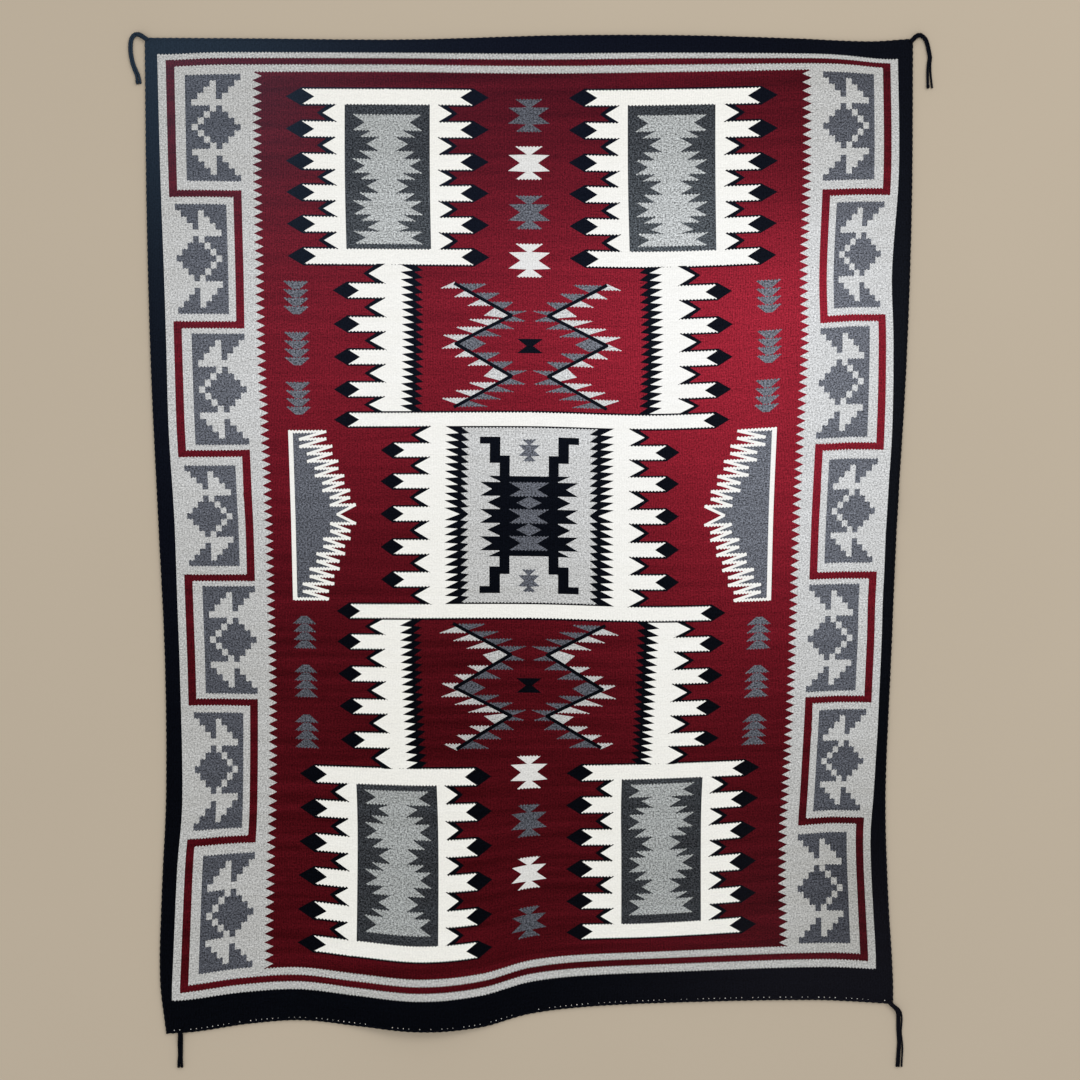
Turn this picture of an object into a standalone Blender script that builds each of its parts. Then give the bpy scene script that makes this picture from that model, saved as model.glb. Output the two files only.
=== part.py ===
"""Tapestry-woven wool rug with twisted edge cords and four corner tassels, lying on a floor.

The rug is one flat, slightly uneven sheet. Its width follows the real rug, which draws in towards one end, and its
bottom edge wanders. A few low ripples lift it off the floor. X is across the rug, Y along it and Z is up, in metres.
The origin is on the floor, in the middle of the rug with its tassels.
"""

import math

import bmesh
import bpy
from mathutils import Vector

# Driving dimensions
PANEL_THICKNESS = 0.0035
EDGE_CORD_RADIUS = 0.0025
TASSEL_STRAND_RADIUS = 0.0021
TASSEL_HEAD_RADIUS = 0.0042
MEETING_GAP = 0.0005
CORD_BAND = 2 * EDGE_CORD_RADIUS + MEETING_GAP
NOMINAL_HALF_WIDTH = 0.605

# How finely the sheet is divided
CELLS_ACROSS = 48
CELLS_ALONG = 64
EDGE_CORD_SIDES_STEP = 2
STRAND_SIDES_STEP = 0
STRAND_POINTS = 18

# The two long edges, outside the cords: place along the rug, left edge, right edge
LONG_EDGES = [
    (-0.790, -0.598, 0.594),
    (-0.700, -0.608, 0.594),
    (-0.560, -0.605, 0.586),
    (-0.400, -0.598, 0.582),
    (-0.180, -0.600, 0.591),
    (0.050, -0.611, 0.601),
    (0.300, -0.623, 0.616),
    (0.560, -0.630, 0.625),
    (0.845, -0.633, 0.627),
]

# The wandering bottom edge, outside its cord: place across the rug, place along it
BOTTOM_EDGE = [
    (-0.605, -0.792),
    (-0.560, -0.789),
    (-0.470, -0.776),
    (-0.380, -0.770),
    (-0.290, -0.779),
    (-0.180, -0.788),
    (-0.080, -0.781),
    (0.000, -0.760),
    (0.100, -0.748),
    (0.250, -0.741),
    (0.480, -0.737),
    (0.605, -0.743),
]

# The nearly straight top edge, outside its cord: place across the rug, place along it
TOP_EDGE = [
    (-0.605, 0.841),
    (-0.450, 0.840),
    (-0.200, 0.838),
    (0.050, 0.845),
    (0.250, 0.845),
    (0.420, 0.840),
    (0.540, 0.835),
    (0.605, 0.839),
]

# Low ripples: middle x and y, turn of the crest in degrees, half length, half width, height
RIPPLES = [
    (-0.180, -0.800, 92, 0.300, 0.150, 0.0120),
    (-0.010, -0.360, 80, 0.160, 0.080, 0.0030),
    (0.530, 0.160, 4, 0.110, 0.050, 0.0030),
    (0.530, 0.080, -3, 0.120, 0.055, 0.0050),
    (0.520, -0.030, 6, 0.110, 0.055, 0.0040),
    (0.510, -0.140, 2, 0.110, 0.055, 0.0040),
    (0.500, -0.290, -6, 0.110, 0.060, 0.0040),
    (0.400, -0.480, 32, 0.130, 0.050, 0.0060),
    (0.440, -0.590, 28, 0.130, 0.050, 0.0060),
    (-0.400, -0.500, -8, 0.130, 0.050, 0.0030),
    (-0.390, -0.600, -12, 0.130, 0.050, 0.0040),
    (-0.460, 0.090, 3, 0.130, 0.060, 0.0040),
]

# Corner tassels: name, place of the head, bends of the middle line, and how far its strands stand to each side
TASSELS = [
    ("tassel_top_left", (-0.6332, 0.8405),
     [(-0.6385, 0.8440), (-0.6440, 0.8462), (-0.6506, 0.8445), (-0.6553, 0.8357), (-0.6560, 0.8210),
      (-0.6539, 0.8046), (-0.6498, 0.7914), (-0.6446, 0.7790), (-0.6420, 0.7650)],
     (-0.0023, 0.0023)),
    ("tassel_top_right", (0.6272, 0.8385),
     [(0.6322, 0.8434), (0.6389, 0.8448), (0.6467, 0.8389), (0.6515, 0.8289), (0.6546, 0.8138),
      (0.6550, 0.8040), (0.6537, 0.7924), (0.6535, 0.7790), (0.6546, 0.7580)],
     (-0.0023, 0.0023)),
    ("tassel_bottom_left", (-0.5741, -0.7952),
     [(-0.5742, -0.8020), (-0.5743, -0.8120), (-0.5741, -0.8220), (-0.5744, -0.8340), (-0.5743, -0.8470)],
     (-0.0023, 0.0023)),
    ("tassel_bottom_right", (0.5942, -0.7428),
     [(0.5985, -0.7500), (0.6030, -0.7580), (0.6055, -0.7680), (0.6062, -0.7850), (0.6058, -0.8100),
      (0.6050, -0.8300), (0.6046, -0.8470)],
     (-0.0046, 0.0, 0.0046)),
]

# Wool colours as red, green, blue, and how rough and how metallic they are
RED_WOOL = (0.150, 0.012, 0.020)
BLACK_WOOL = (0.010, 0.011, 0.015)
WOOL_ROUGHNESS = 0.95
WOOL_METALLIC = 0.0


def wool_material(name, colour):
    """One Principled material in a plain wool colour."""
    material = bpy.data.materials.new(name)
    material.use_nodes = True
    shader = material.node_tree.nodes["Principled BSDF"]
    shader.inputs["Base Color"].default_value = (*colour, 1.0)
    shader.inputs["Roughness"].default_value = WOOL_ROUGHNESS
    shader.inputs["Metallic"].default_value = WOOL_METALLIC
    return material


def along_table(rows, place, column):
    """Read one column of a table at a place in its first column, on a smooth curve through the rows."""
    last = len(rows) - 1
    if place <= rows[0][0]:
        return rows[0][column]
    if place >= rows[last][0]:
        return rows[last][column]
    step = max(i for i in range(last) if rows[i][0] <= place)
    share = (place - rows[step][0]) / (rows[step + 1][0] - rows[step][0])
    before = rows[max(step - 1, 0)]
    here = rows[step]
    there = rows[step + 1]
    after = rows[min(step + 2, last)]
    span = there[0] - here[0]
    rise_here = (there[column] - before[column]) / (there[0] - before[0]) * span
    rise_there = (after[column] - here[column]) / (after[0] - here[0]) * span
    square = share * share
    cube = square * share
    return (
        (2 * cube - 3 * square + 1) * here[column]
        + (cube - 2 * square + share) * rise_here
        + (3 * square - 2 * cube) * there[column]
        + (cube - square) * rise_there
    )


def soft_hump(share):
    """One at the middle, level at both ends, and zero beyond them."""
    if abs(share) >= 1.0:
        return 0.0
    return math.cos(share * math.pi / 2) ** 2


def lift(x, y):
    """Height of the rug's underside above the floor."""
    height = 0.0
    for middle_x, middle_y, turn, half_length, half_width, rise in RIPPLES:
        cosine = math.cos(math.radians(turn))
        sine = math.sin(math.radians(turn))
        along = (x - middle_x) * cosine + (y - middle_y) * sine
        across = (y - middle_y) * cosine - (x - middle_x) * sine
        height += rise * soft_hump(along / half_length) * soft_hump(across / half_width)
    return height


def rug_point(across, along):
    """Point of the underside, from 0 to 1 across the rug and 0 to 1 along it."""
    nominal_x = NOMINAL_HALF_WIDTH * (2 * across - 1)
    low = along_table(BOTTOM_EDGE, nominal_x, 1) + CORD_BAND
    high = along_table(TOP_EDGE, nominal_x, 1) - CORD_BAND
    y = low + (high - low) * along
    left = along_table(LONG_EDGES, y, 1) + CORD_BAND
    right = along_table(LONG_EDGES, y, 2) - CORD_BAND
    x = left + (right - left) * across
    return Vector((x, y, lift(x, y)))


def add_object(name, data, collection, material):
    """Put one object with its material into a collection."""
    thing = bpy.data.objects.new(name, data)
    collection.objects.link(thing)
    data.materials.clear()
    data.materials.append(material)
    return thing


def make_panel(collection, material):
    """The woven sheet: a grid laid on the rug's outline and ripples, thickened upwards."""
    shape = bmesh.new()
    bmesh.ops.create_grid(shape, x_segments=CELLS_ACROSS, y_segments=CELLS_ALONG, size=1.0)
    for vert in shape.verts:
        vert.co = rug_point((vert.co.x + 1) / 2, (vert.co.y + 1) / 2)
    mesh = bpy.data.meshes.new("rug_panel")
    shape.to_mesh(mesh)
    shape.free()
    panel = add_object("rug_panel", mesh, collection, material)
    thicken = panel.modifiers.new("Thickness", "SOLIDIFY")
    thicken.thickness = PANEL_THICKNESS
    thicken.offset = 1.0
    return panel


def tube(name, points, radius, sides_step, collection, material):
    """A closed tube along a list of points."""
    curve = bpy.data.curves.new(name, "CURVE")
    curve.dimensions = "3D"
    curve.twist_mode = "Z_UP"
    curve.bevel_depth = radius
    curve.bevel_resolution = sides_step
    curve.use_fill_caps = True
    line = curve.splines.new("POLY")
    line.points.add(len(points) - 1)
    for spot, point in zip(line.points, points):
        spot.co = (*point, 1.0)
    return add_object(name, curve, collection, material)


def beside_edge(edge_points, outward):
    """Middle line of a cord that lies on the floor just outside a run of edge points."""
    line = []
    last = len(edge_points) - 1
    for i, point in enumerate(edge_points):
        run = edge_points[min(i + 1, last)] - edge_points[max(i - 1, 0)]
        side = Vector((run.y, -run.x, 0.0)).normalized()
        if side.dot(outward) < 0:
            side = -side
        line.append(point + side * (EDGE_CORD_RADIUS + MEETING_GAP) + Vector((0.0, 0.0, EDGE_CORD_RADIUS)))
    return line


def make_edge_cords(collection, material):
    """Two selvedge cords along the sides and two end cords across the ends."""
    steps_along = [i / CELLS_ALONG for i in range(CELLS_ALONG + 1)]
    steps_across = [i / CELLS_ACROSS for i in range(CELLS_ACROSS + 1)]
    runs = [
        ("selvedge_cord_left", [rug_point(0.0, t) for t in steps_along], Vector((-1, 0, 0))),
        ("selvedge_cord_right", [rug_point(1.0, t) for t in steps_along], Vector((1, 0, 0))),
        ("end_cord_bottom", [rug_point(s, 0.0) for s in steps_across], Vector((0, -1, 0))),
        ("end_cord_top", [rug_point(s, 1.0) for s in steps_across], Vector((0, 1, 0))),
    ]
    for name, edge, outward in runs:
        line = beside_edge(edge, outward)
        tube(name, line, EDGE_CORD_RADIUS, EDGE_CORD_SIDES_STEP, collection, material)


def smooth_line(bends, count):
    """Evenly stepped points on a soft curve through the bends, in the plane of the floor."""
    points = [Vector(bend) for bend in bends]
    first = points[0] * 2 - points[1]
    last = points[-1] * 2 - points[-2]
    padded = [first, *points, last]
    line = []
    for i in range(count):
        place = i / (count - 1) * (len(points) - 1)
        step = min(int(place), len(points) - 2)
        share = place - step
        before, here, there, after = padded[step:step + 4]
        line.append(0.5 * (
            here * 2
            + (there - before) * share
            + (before * 2 - here * 5 + there * 4 - after) * share ** 2
            + (here * 3 - before - there * 3 + after) * share ** 3
        ))
    return line


def strand_line(head, bends, aside):
    """Middle line of one strand, from inside the tassel's head to its free end."""
    middle = smooth_line([head, *bends], STRAND_POINTS)
    line = []
    for i, point in enumerate(middle):
        run = middle[min(i + 1, STRAND_POINTS - 1)] - middle[max(i - 1, 0)]
        side = Vector((run.y, -run.x)).normalized()
        spot = point + side * aside * min(1.0, i / 3)
        line.append(Vector((spot.x, spot.y, TASSEL_STRAND_RADIUS)))
    return line


def as_mesh(curve_object, collection):
    """The same tube as a closed mesh, which a Boolean can read."""
    evaluated = curve_object.evaluated_get(bpy.context.evaluated_depsgraph_get())
    mesh = bpy.data.meshes.new_from_object(evaluated)
    shape = bmesh.new()
    shape.from_mesh(mesh)
    bmesh.ops.remove_doubles(shape, verts=shape.verts, dist=0.00001)
    bmesh.ops.recalc_face_normals(shape, faces=shape.faces)
    shape.to_mesh(mesh)
    shape.free()
    name = curve_object.name
    placed = curve_object.matrix_world.copy()
    bpy.data.objects.remove(curve_object)
    solid = bpy.data.objects.new(name, mesh)
    collection.objects.link(solid)
    solid.matrix_world = placed
    return solid


def make_tassel(name, head, bends, sides, collection, helpers, material):
    """A knotted head on the floor with its strands fused in at their roots."""
    shape = bmesh.new()
    bmesh.ops.create_uvsphere(shape, u_segments=12, v_segments=8, radius=TASSEL_HEAD_RADIUS)
    mesh = bpy.data.meshes.new(name)
    shape.to_mesh(mesh)
    shape.free()
    knot = add_object(name, mesh, collection, material)
    knot.location = (*head, TASSEL_HEAD_RADIUS)
    for number, aside in enumerate(sides):
        line = strand_line(head, bends, aside)
        strand_name = f"{name}_strand_{number + 1}"
        strand = tube(strand_name, line, TASSEL_STRAND_RADIUS, STRAND_SIDES_STEP, helpers, material)
        strand = as_mesh(strand, helpers)
        strand.hide_render = True
        strand.display_type = "WIRE"
        join = knot.modifiers.new(strand_name, "BOOLEAN")
        join.operation = "UNION"
        join.solver = "EXACT"
        join.object = strand
    return knot


def main():
    """Clear the file's objects and build the rug."""
    for thing in list(bpy.data.objects):
        bpy.data.objects.remove(thing)
    rug = bpy.data.collections.new("woven_rug")
    helpers = bpy.data.collections.new("joining_shapes")
    bpy.context.scene.collection.children.link(rug)
    bpy.context.scene.collection.children.link(helpers)
    red = wool_material("red_wool", RED_WOOL)
    black = wool_material("black_wool", BLACK_WOOL)
    make_panel(rug, red)
    make_edge_cords(rug, black)
    for name, head, bends, sides in TASSELS:
        make_tassel(name, head, bends, sides, rug, helpers, black)


main()
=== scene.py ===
"""Looks of a tapestry-woven wool rug with twisted edge cords and four corner tassels.

The design is charted in stitches from the middle of the rug and woven into one thin sheet, which lies on the
rug's outline and low ripples. Everything is in metres: X across the rug, Y along it, Z up from the floor.
"""

import math

import bmesh
import bpy
import numpy as np
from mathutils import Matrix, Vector
from mathutils.geometry import delaunay_2d_cdt


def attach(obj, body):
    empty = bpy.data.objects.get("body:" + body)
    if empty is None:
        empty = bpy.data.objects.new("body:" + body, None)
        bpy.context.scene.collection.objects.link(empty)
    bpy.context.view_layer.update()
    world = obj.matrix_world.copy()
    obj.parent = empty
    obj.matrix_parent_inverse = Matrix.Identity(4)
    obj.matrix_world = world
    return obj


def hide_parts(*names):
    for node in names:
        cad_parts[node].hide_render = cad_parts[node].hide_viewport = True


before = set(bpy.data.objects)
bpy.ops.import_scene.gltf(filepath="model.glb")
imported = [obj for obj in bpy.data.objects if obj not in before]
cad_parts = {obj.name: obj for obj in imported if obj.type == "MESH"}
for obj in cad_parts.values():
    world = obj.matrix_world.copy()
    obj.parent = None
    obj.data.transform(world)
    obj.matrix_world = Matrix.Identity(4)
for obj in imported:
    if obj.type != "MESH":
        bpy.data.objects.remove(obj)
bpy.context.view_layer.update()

# Real sizes of the sheet and its cords
PANEL_THICKNESS = 0.0035
EDGE_CORD_RADIUS = 0.0025
MEETING_GAP = 0.0005
CORD_BAND = 2 * EDGE_CORD_RADIUS + MEETING_GAP
NOMINAL_HALF_WIDTH = 0.605

# One stitch of the chart, and where the chart's middle lies on the floor
STITCH = 0.00164
CHART_MIDDLE_X = -0.0029
CHART_MIDDLE_Y = 0.0587

# The two long edges, outside the cords: place along the rug, left edge, right edge
LONG_EDGES = [
    (-0.790, -0.598, 0.594),
    (-0.700, -0.608, 0.594),
    (-0.560, -0.605, 0.586),
    (-0.400, -0.598, 0.582),
    (-0.180, -0.600, 0.591),
    (0.050, -0.611, 0.601),
    (0.300, -0.623, 0.616),
    (0.560, -0.630, 0.625),
    (0.845, -0.633, 0.627),
]

# The wandering bottom edge, outside its cord: place across the rug, place along it
BOTTOM_EDGE = [
    (-0.605, -0.792),
    (-0.560, -0.789),
    (-0.470, -0.776),
    (-0.380, -0.770),
    (-0.290, -0.779),
    (-0.180, -0.788),
    (-0.080, -0.781),
    (0.000, -0.760),
    (0.100, -0.748),
    (0.250, -0.741),
    (0.480, -0.737),
    (0.605, -0.743),
]

# The nearly straight top edge, outside its cord: place across the rug, place along it
TOP_EDGE = [
    (-0.605, 0.841),
    (-0.450, 0.840),
    (-0.200, 0.838),
    (0.050, 0.845),
    (0.250, 0.845),
    (0.420, 0.840),
    (0.540, 0.835),
    (0.605, 0.839),
]

# Low ripples: middle x and y, turn of the crest in degrees, half length, half width, height
RIPPLES = [
    (-0.180, -0.800, 92, 0.300, 0.150, 0.0120),
    (-0.010, -0.360, 80, 0.160, 0.080, 0.0030),
    (0.530, 0.160, 4, 0.110, 0.050, 0.0030),
    (0.530, 0.080, -3, 0.120, 0.055, 0.0050),
    (0.520, -0.030, 6, 0.110, 0.055, 0.0040),
    (0.510, -0.140, 2, 0.110, 0.055, 0.0040),
    (0.500, -0.290, -6, 0.110, 0.060, 0.0040),
    (0.400, -0.480, 32, 0.130, 0.050, 0.0060),
    (0.440, -0.590, 28, 0.130, 0.050, 0.0060),
    (-0.400, -0.500, -8, 0.130, 0.050, 0.0030),
    (-0.390, -0.600, -12, 0.130, 0.050, 0.0040),
    (-0.460, 0.090, 3, 0.130, 0.060, 0.0040),
]

# Corner tassels: name, place of the root, bends of the middle line, and radius of the wrapped head
TASSELS = (
    ("tassel_top_left", (-0.6332, 0.8405),
     ((-0.6385, 0.8440), (-0.6440, 0.8462), (-0.6506, 0.8445), (-0.6553, 0.8357), (-0.6560, 0.8210),
      (-0.6539, 0.8046), (-0.6498, 0.7914), (-0.6446, 0.7790), (-0.6420, 0.7650)),
     0.0040),
    ("tassel_top_right", (0.6272, 0.8385),
     ((0.6322, 0.8434), (0.6389, 0.8448), (0.6467, 0.8389), (0.6505, 0.8289), (0.6536, 0.8138),
      (0.6546, 0.8070), (0.6530, 0.7970), (0.6526, 0.7790), (0.6538, 0.7580)),
     0.0040),
    ("tassel_bottom_left", (-0.5741, -0.7930),
     ((-0.5742, -0.8020), (-0.5743, -0.8120), (-0.5741, -0.8220), (-0.5744, -0.8340), (-0.5743, -0.8470)),
     0.0042),
    ("tassel_bottom_right", (0.5906, -0.7429),
     ((0.6008, -0.7535), (0.6024, -0.7642), (0.6024, -0.7808), (0.6030, -0.7920), (0.6038, -0.8045),
      (0.6031, -0.8187), (0.6022, -0.8330), (0.6017, -0.8459)),
     0.0038),
)

# How finely the sheet is cut, in stitches, and its yarns in the order of its material slots
SETTLING_STEPS = 5
EDGE_STEPS_ACROSS = 96
EDGE_STEPS_ALONG = 128
CHART_HALF_WIDTH = 396.0
CHART_HALF_HEIGHT = 506.0
LOOSE_STEP = 11.0
LONGEST_RUN = 14.0
COMB_STEP = 1.7
COMB_DEPTH = 0.65
COMB_SHORTEST = 14.0
NEARNESS = 0.0001
SHARP_ANGLE = math.radians(50)
YARNS = ("black", "red", "white", "light", "dark", "soft", "deep", "pale")

# The weave: spacing of the warps and of the rows of beads, how far warps sway, and the relief and its parts
WARP_PITCH = 0.0028
BEAD_PITCH = 0.0013
WARP_SWAY = 0.0016
WEAVE_RELIEF = 0.0006
ODD_WARP_SHIFT = 0.5
RIB_ROUNDNESS = 0.6
BEAD_HEIGHT = 0.35
FUZZ_HEIGHT = 0.6

# Uneven yarn: marks to the metre, across and along where drawn out, and how strongly and finely they show
SWAY_MARKS = 60.0
FIBRE_MARKS = 900.0
BAND_MARKS = (3.0, 60.0)
STREAK_MARKS = (40.0, 420.0)
FLECK_MARKS = 330.0
FLECK_STRETCH = 1.25
FLECK_ROUGHNESS = 0.85
BAND_STRENGTH = 0.3
DARKEST_YARN = 0.15
MIDDLE_OF_NOISE = 0.5
PLAIN_DETAIL = 2.0
FINE_DETAIL = 3.0
PLAIN_ROUGHNESS = 0.5

# Wool of the cords: how rough and shiny it is, where its fibres turn from deep to bright, and their relief
WOOL_ROUGHNESS = 0.95
WOOL_SHINE = 0.02
FIBRE_LOW = 0.35
FIBRE_HIGH = 0.7
FIBRE_RELIEF = 0.0004
BLACK_WOOL = ((3, 4, 8), (16, 18, 24))
UNDYED_WARP = ((212, 208, 200), (246, 245, 240))

# The usual curve of picture colours: brightest value, end and slope of its straight part, offset and power
BRIGHTEST = 255.0
STRAIGHT_END = 0.04045
STRAIGHT_SLOPE = 12.92
CURVE_OFFSET = 0.055
CURVE_POWER = 2.4

# Looks of each yarn: deep colour, bright colour of its pale bands and of painted light, how soon painted
# light brightens it, heathering, streaks, painted shade in the grooves, relief, painted sheen
YARN_LOOKS = (
    ("black", (3, 4, 8), (14, 17, 24), 0.5, 3.2, 0.8, 0.30, 0.7, 1.0),
    ("red", (61, 8, 13), (176, 42, 60), 1.0, 2.8, 0.5, 0.35, 0.8, 0.7),
    ("white", (228, 226, 216), (249, 249, 247), 0.35, 0.5, 0.16, 0.05, 0.35, 0.3),
    ("pale", (208, 206, 200), (236, 237, 238), 0.40, 1.0, 0.16, 0.08, 0.5, 0.3),
    ("light", (152, 150, 143), (222, 224, 226), 0.34, 2.8, 0.30, 0.12, 0.6, 0.3),
    ("dark", (48, 49, 54), (120, 124, 134), 0.40, 6.0, 0.50, 0.20, 0.7, 0.4),
    ("soft", (132, 135, 132), (210, 214, 216), 0.45, 4.6, 0.30, 0.12, 0.6, 0.3),
    ("deep", (42, 43, 46), (100, 107, 113), 0.80, 8.0, 0.50, 0.20, 0.7, 0.4),
)

# Painted light: patches that brighten the wool as if lit more strongly, and painted shade of creases where
# the strength is below zero: middle x and y, half width, half length, strength
LEAST_PAINTED_LIGHT = 0.06
PAINTED_LIGHT_PLACES = (
    (0.270, 0.360, 0.310, 0.180, 0.62),
    (-0.370, 0.300, 0.200, 0.210, 0.26),
    (0.390, 0.050, 0.200, 0.200, 0.34),
    (0.420, 0.430, 0.090, 0.090, 0.22),
    # Below zero: painted shade of the creases at the bottom right
    (0.550, -0.540, 0.090, 0.140, -0.058),
)

# Painted sheen: a bluish reflection of light added to the dark wool, strongest at the top left: middle x and
# y, half width, half length, colour
PAINTED_SHEEN_PLACES = (
    (-0.620, 0.840, 0.220, 0.250, (0.0160, 0.0270, 0.0400)),
    (-0.100, 0.800, 0.450, 0.400, (0.0034, 0.0045, 0.0100)),
    (0.600, 0.350, 0.150, 0.350, (0.0028, 0.0029, 0.0030)),
    (0.500, -0.680, 0.220, 0.150, (0.0050, 0.0045, 0.0060)),
    (-0.600, 0.100, 0.150, 0.250, (0.0008, 0.0010, 0.0025)),
)
# How much the grain breaks up the painted sheen
SHEEN_GRAIN = 1.4

# Twisted edge cords: length of one turn, radii of the plies and core, and how the cords and the weave meet
EDGE_CORD_TURN = 0.021
EDGE_PLY_RADIUS = 0.00135
EDGE_CORE_RADIUS = 0.00185
END_CORD_OVERRUN = 0.0045
WOVEN_BAND = 0.0040
TURN_POINTS = 12
PLY_SIDES = 6

# White warps that show along the bottom edge: spacing, share shown, radius, and least and largest size
WARP_LOOP_PITCH = 0.0090
WARP_LOOPS_SHOWN = 0.75
WARP_LOOP_RADIUS = 0.0008
WARP_LOOP_SIZES = (0.6, 1.1)
WARP_LOOP_SIDES = 8
WARP_LOOP_RINGS = 6
WARP_LOOP_SEED = 0

# Wrapped heads and end knots of the tassels
ROOT_REACH = 0.0060
HEAD_WRAP_POINTS = 5
KNOT_LENGTH = 0.0036
KNOT_START = 0.0020
KNOT_RADIUS = 0.0030
WRAP_TURN = 0.0022
WRAP_PLY_RADIUS = 0.0011

# Strands of the tassels: tassel, radius, knotted or not, and how far out they stand at even places
STRAND_POINTS = 18
STRAND_TURN = 0.011
STRAND_PLY_SHARE = 0.56
STRAND_CORE_SHARE = 0.90
STRAND_PLACES = (0.0, 0.25, 0.5, 0.75, 1.0)
STRANDS = (
    ("tassel_top_left", 0.0022, True, (-0.0018, -0.0018, -0.0018, -0.0018, -0.0026)),
    ("tassel_top_left", 0.0022, False, (0.0018, 0.0018, 0.0018, 0.0018, 0.0026)),
    ("tassel_top_right", 0.0024, True, (-0.0016, -0.0016, -0.0016, -0.0017, -0.0026)),
    ("tassel_top_right", 0.0018, False, (0.0020, 0.0020, 0.0019, 0.0019, 0.0042)),
    ("tassel_bottom_left", 0.0025, False, (-0.0018, -0.0022, -0.0020, -0.0019, -0.0028)),
    ("tassel_bottom_left", 0.0025, False, (0.0018, 0.0022, 0.0020, 0.0019, 0.0026)),
    ("tassel_bottom_right", 0.0020, False, (-0.0012, -0.0015, -0.0015, -0.0016, -0.0019)),
    ("tassel_bottom_right", 0.0020, False, (0.0012, 0.0016, 0.0014, 0.0016, 0.0014)),
    ("tassel_bottom_right", 0.0016, False, (0.0006, 0.0058, 0.0040, 0.0062, 0.0062)),
)

# Camera over the rug: the middle of its view, its height and the width that it sees at the floor
VIEW_MIDDLE = (0.0152, 0.0174)
CAMERA_HEIGHT = 4.0
VIEW_WIDTH = 1.7712
SENSOR_WIDTH = 36.0

# The floor, light from all round, and soft lamps: name, place, size, power
FLOOR_HALF_WIDTH = 6.0
FLOOR_COLOURS = ((182, 169, 150), (187, 174, 155))
FLOOR_CLOUDS = 1.5
SKY_STRENGTH = 0.80
LAMPS = (
    ("key", (2.4, 2.8, 3.6), 2.5, 70.0),
    ("fill", (-3.0, -1.5, 4.5), 3.0, 25.0),
)

# How far the weaving drifts to the right of its chart: place along, then the shift at each place across
ACROSS = (-372.0, -272.75, -142.0, 0.0, 142.0, 272.75, 372.0)
SIDEWAYS = (
    (-454.0, 13.8, 12.2, 11.0, 0.0, -10.0, -18.2, -24.0),
    (-340.0, 19.2, 14.6, 12.0, 0.0, -10.0, -19.5, -29.5),
    (-285.0, 24.3, 16.5, 11.0, 0.0, -10.0, -16.5, -26.0),
    (-170.0, 22.2, 16.7, 4.0, 0.0, -4.0, -10.7, -20.0),
    (-85.0, 19.2, 14.5, 2.0, 0.0, 0.0, -8.0, -17.0),
    (0.0, 16.2, 12.2, 1.0, 0.0, 0.0, -5.2, -13.0),
    (85.0, 10.7, 8.5, 2.0, 0.5, 1.0, -1.0, -7.5),
    (170.0, 8.2, 4.7, 4.0, 1.0, 4.0, 3.2, -6.5),
    (235.0, 6.1, 3.5, 2.8, 0.6, 2.6, 2.2, -8.0),
    (340.0, 2.2, 1.2, 0.5, 0.0, 0.0, 5.2, -1.0),
    (465.0, -1.0, 0.8, 0.5, 0.0, 0.0, 5.2, -2.0),
)

# How far it drifts down the rug: place along, then the shift at each place across
ALONG_PLACES = (-325.0, -134.0, 0.0, 134.0, 325.0)
ENDWAYS = (
    (-454.0, -0.5, 1.2, -0.8, 0.5, -1.7),
    (-390.0, -1.0, 1.0, 1.0, 7.0, -3.0),
    (-322.0, -2.0, 0.8, 1.0, 4.0, -7.5),
    (-258.0, -2.5, 1.0, 1.0, 0.0, -7.0),
    (-190.0, -3.0, 0.8, 1.0, 3.0, -6.0),
    (-96.0, -1.0, 0.0, 0.0, 3.0, -3.0),
    (0.0, 1.5, -1.0, 0.0, 2.0, -4.0),
    (126.0, 1.5, 1.5, 1.0, 4.0, -7.0),
    (258.0, -1.5, 0.0, 1.0, 2.5, -6.0),
    (354.0, -2.0, 1.5, 1.0, 2.7, -3.0),
    (441.0, 0.8, 0.8, 2.4, 1.1, -2.8),
    (465.0, 0.8, 1.5, 2.5, 1.5, 3.0),
)

# Corners that droop: place across and along, how far round it reaches, and the shift down
DROOPING_CORNERS = (
    (-364.0, 458.0, 24.0, 2.3),
    (364.0, 458.0, 33.0, 5.5),
)

# The chart's bottom edge, and where the weaving begins to follow the rug's wandering edge, and fully does
CHART_END = -497.0
WAVE_STARTS = -200.0
WAVE_FULL = -420.0

# The border, in stitches from the middle of the rug: its edges, its red line with its turns, and the field
BORDER_HALF_WIDTH = 370.5
BORDER_BOTTOM = -465.0
BORDER_TOP = 463.0
LINE_HALF_WIDTH = 4.2
LINE_HALF_HEIGHT = 3.4
LINE_OUTER_U = 358.2
LINE_INNER_U = 293.0
LINE_END_V = 454.1
LINE_TURNS = (319.0, 190.0, 63.0)
FIELD_HALF_HEIGHT = 443.5
FIELD_TIP = 268.0
FIELD_VALLEY = 277.5
FIELD_TEETH = 103

# Rows of the flower blocks in the border: D is a dark stitch block, first letter beside the red line
FLOWER_ROWS = (
    "DDDDDDDDD",
    "DDDD.DDD.",
    "DDD..DD..",
    "DD...D...",
    "D........",
    "DDDD.D...",
    "DDD.DDD..",
    "DD.DDDDD.",
    "D.DDDDDDD",
)
ROW_OVERLAP = 1

# Flower blocks of the upper half: middle, side beside the red line, open side, half height
FLOWER_BLOCKS = (
    (386.3, 344.0, 289.0, 54.9),
    (254.5, 304.5, 357.0, 54.0),
    (126.5, 344.0, 289.0, 54.9),
)
MIDDLE_FLOWER_BLOCK = (0.0, 304.5, 357.0, 51.0)

# Feather rows of one quarter, from the middle of the rug outwards
CENTRE_ROWS = (0.0, 33.0, 65.0)
BAR_ROW = 96.3
CONNECTOR_ROWS = (126.8, 159.0, 191.2, 224.2)
BOX_ROWS = (257.8, 290.0, 322.0, 353.5, 386.0, 418.5)
BOX_CENTRE = 142.0

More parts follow.
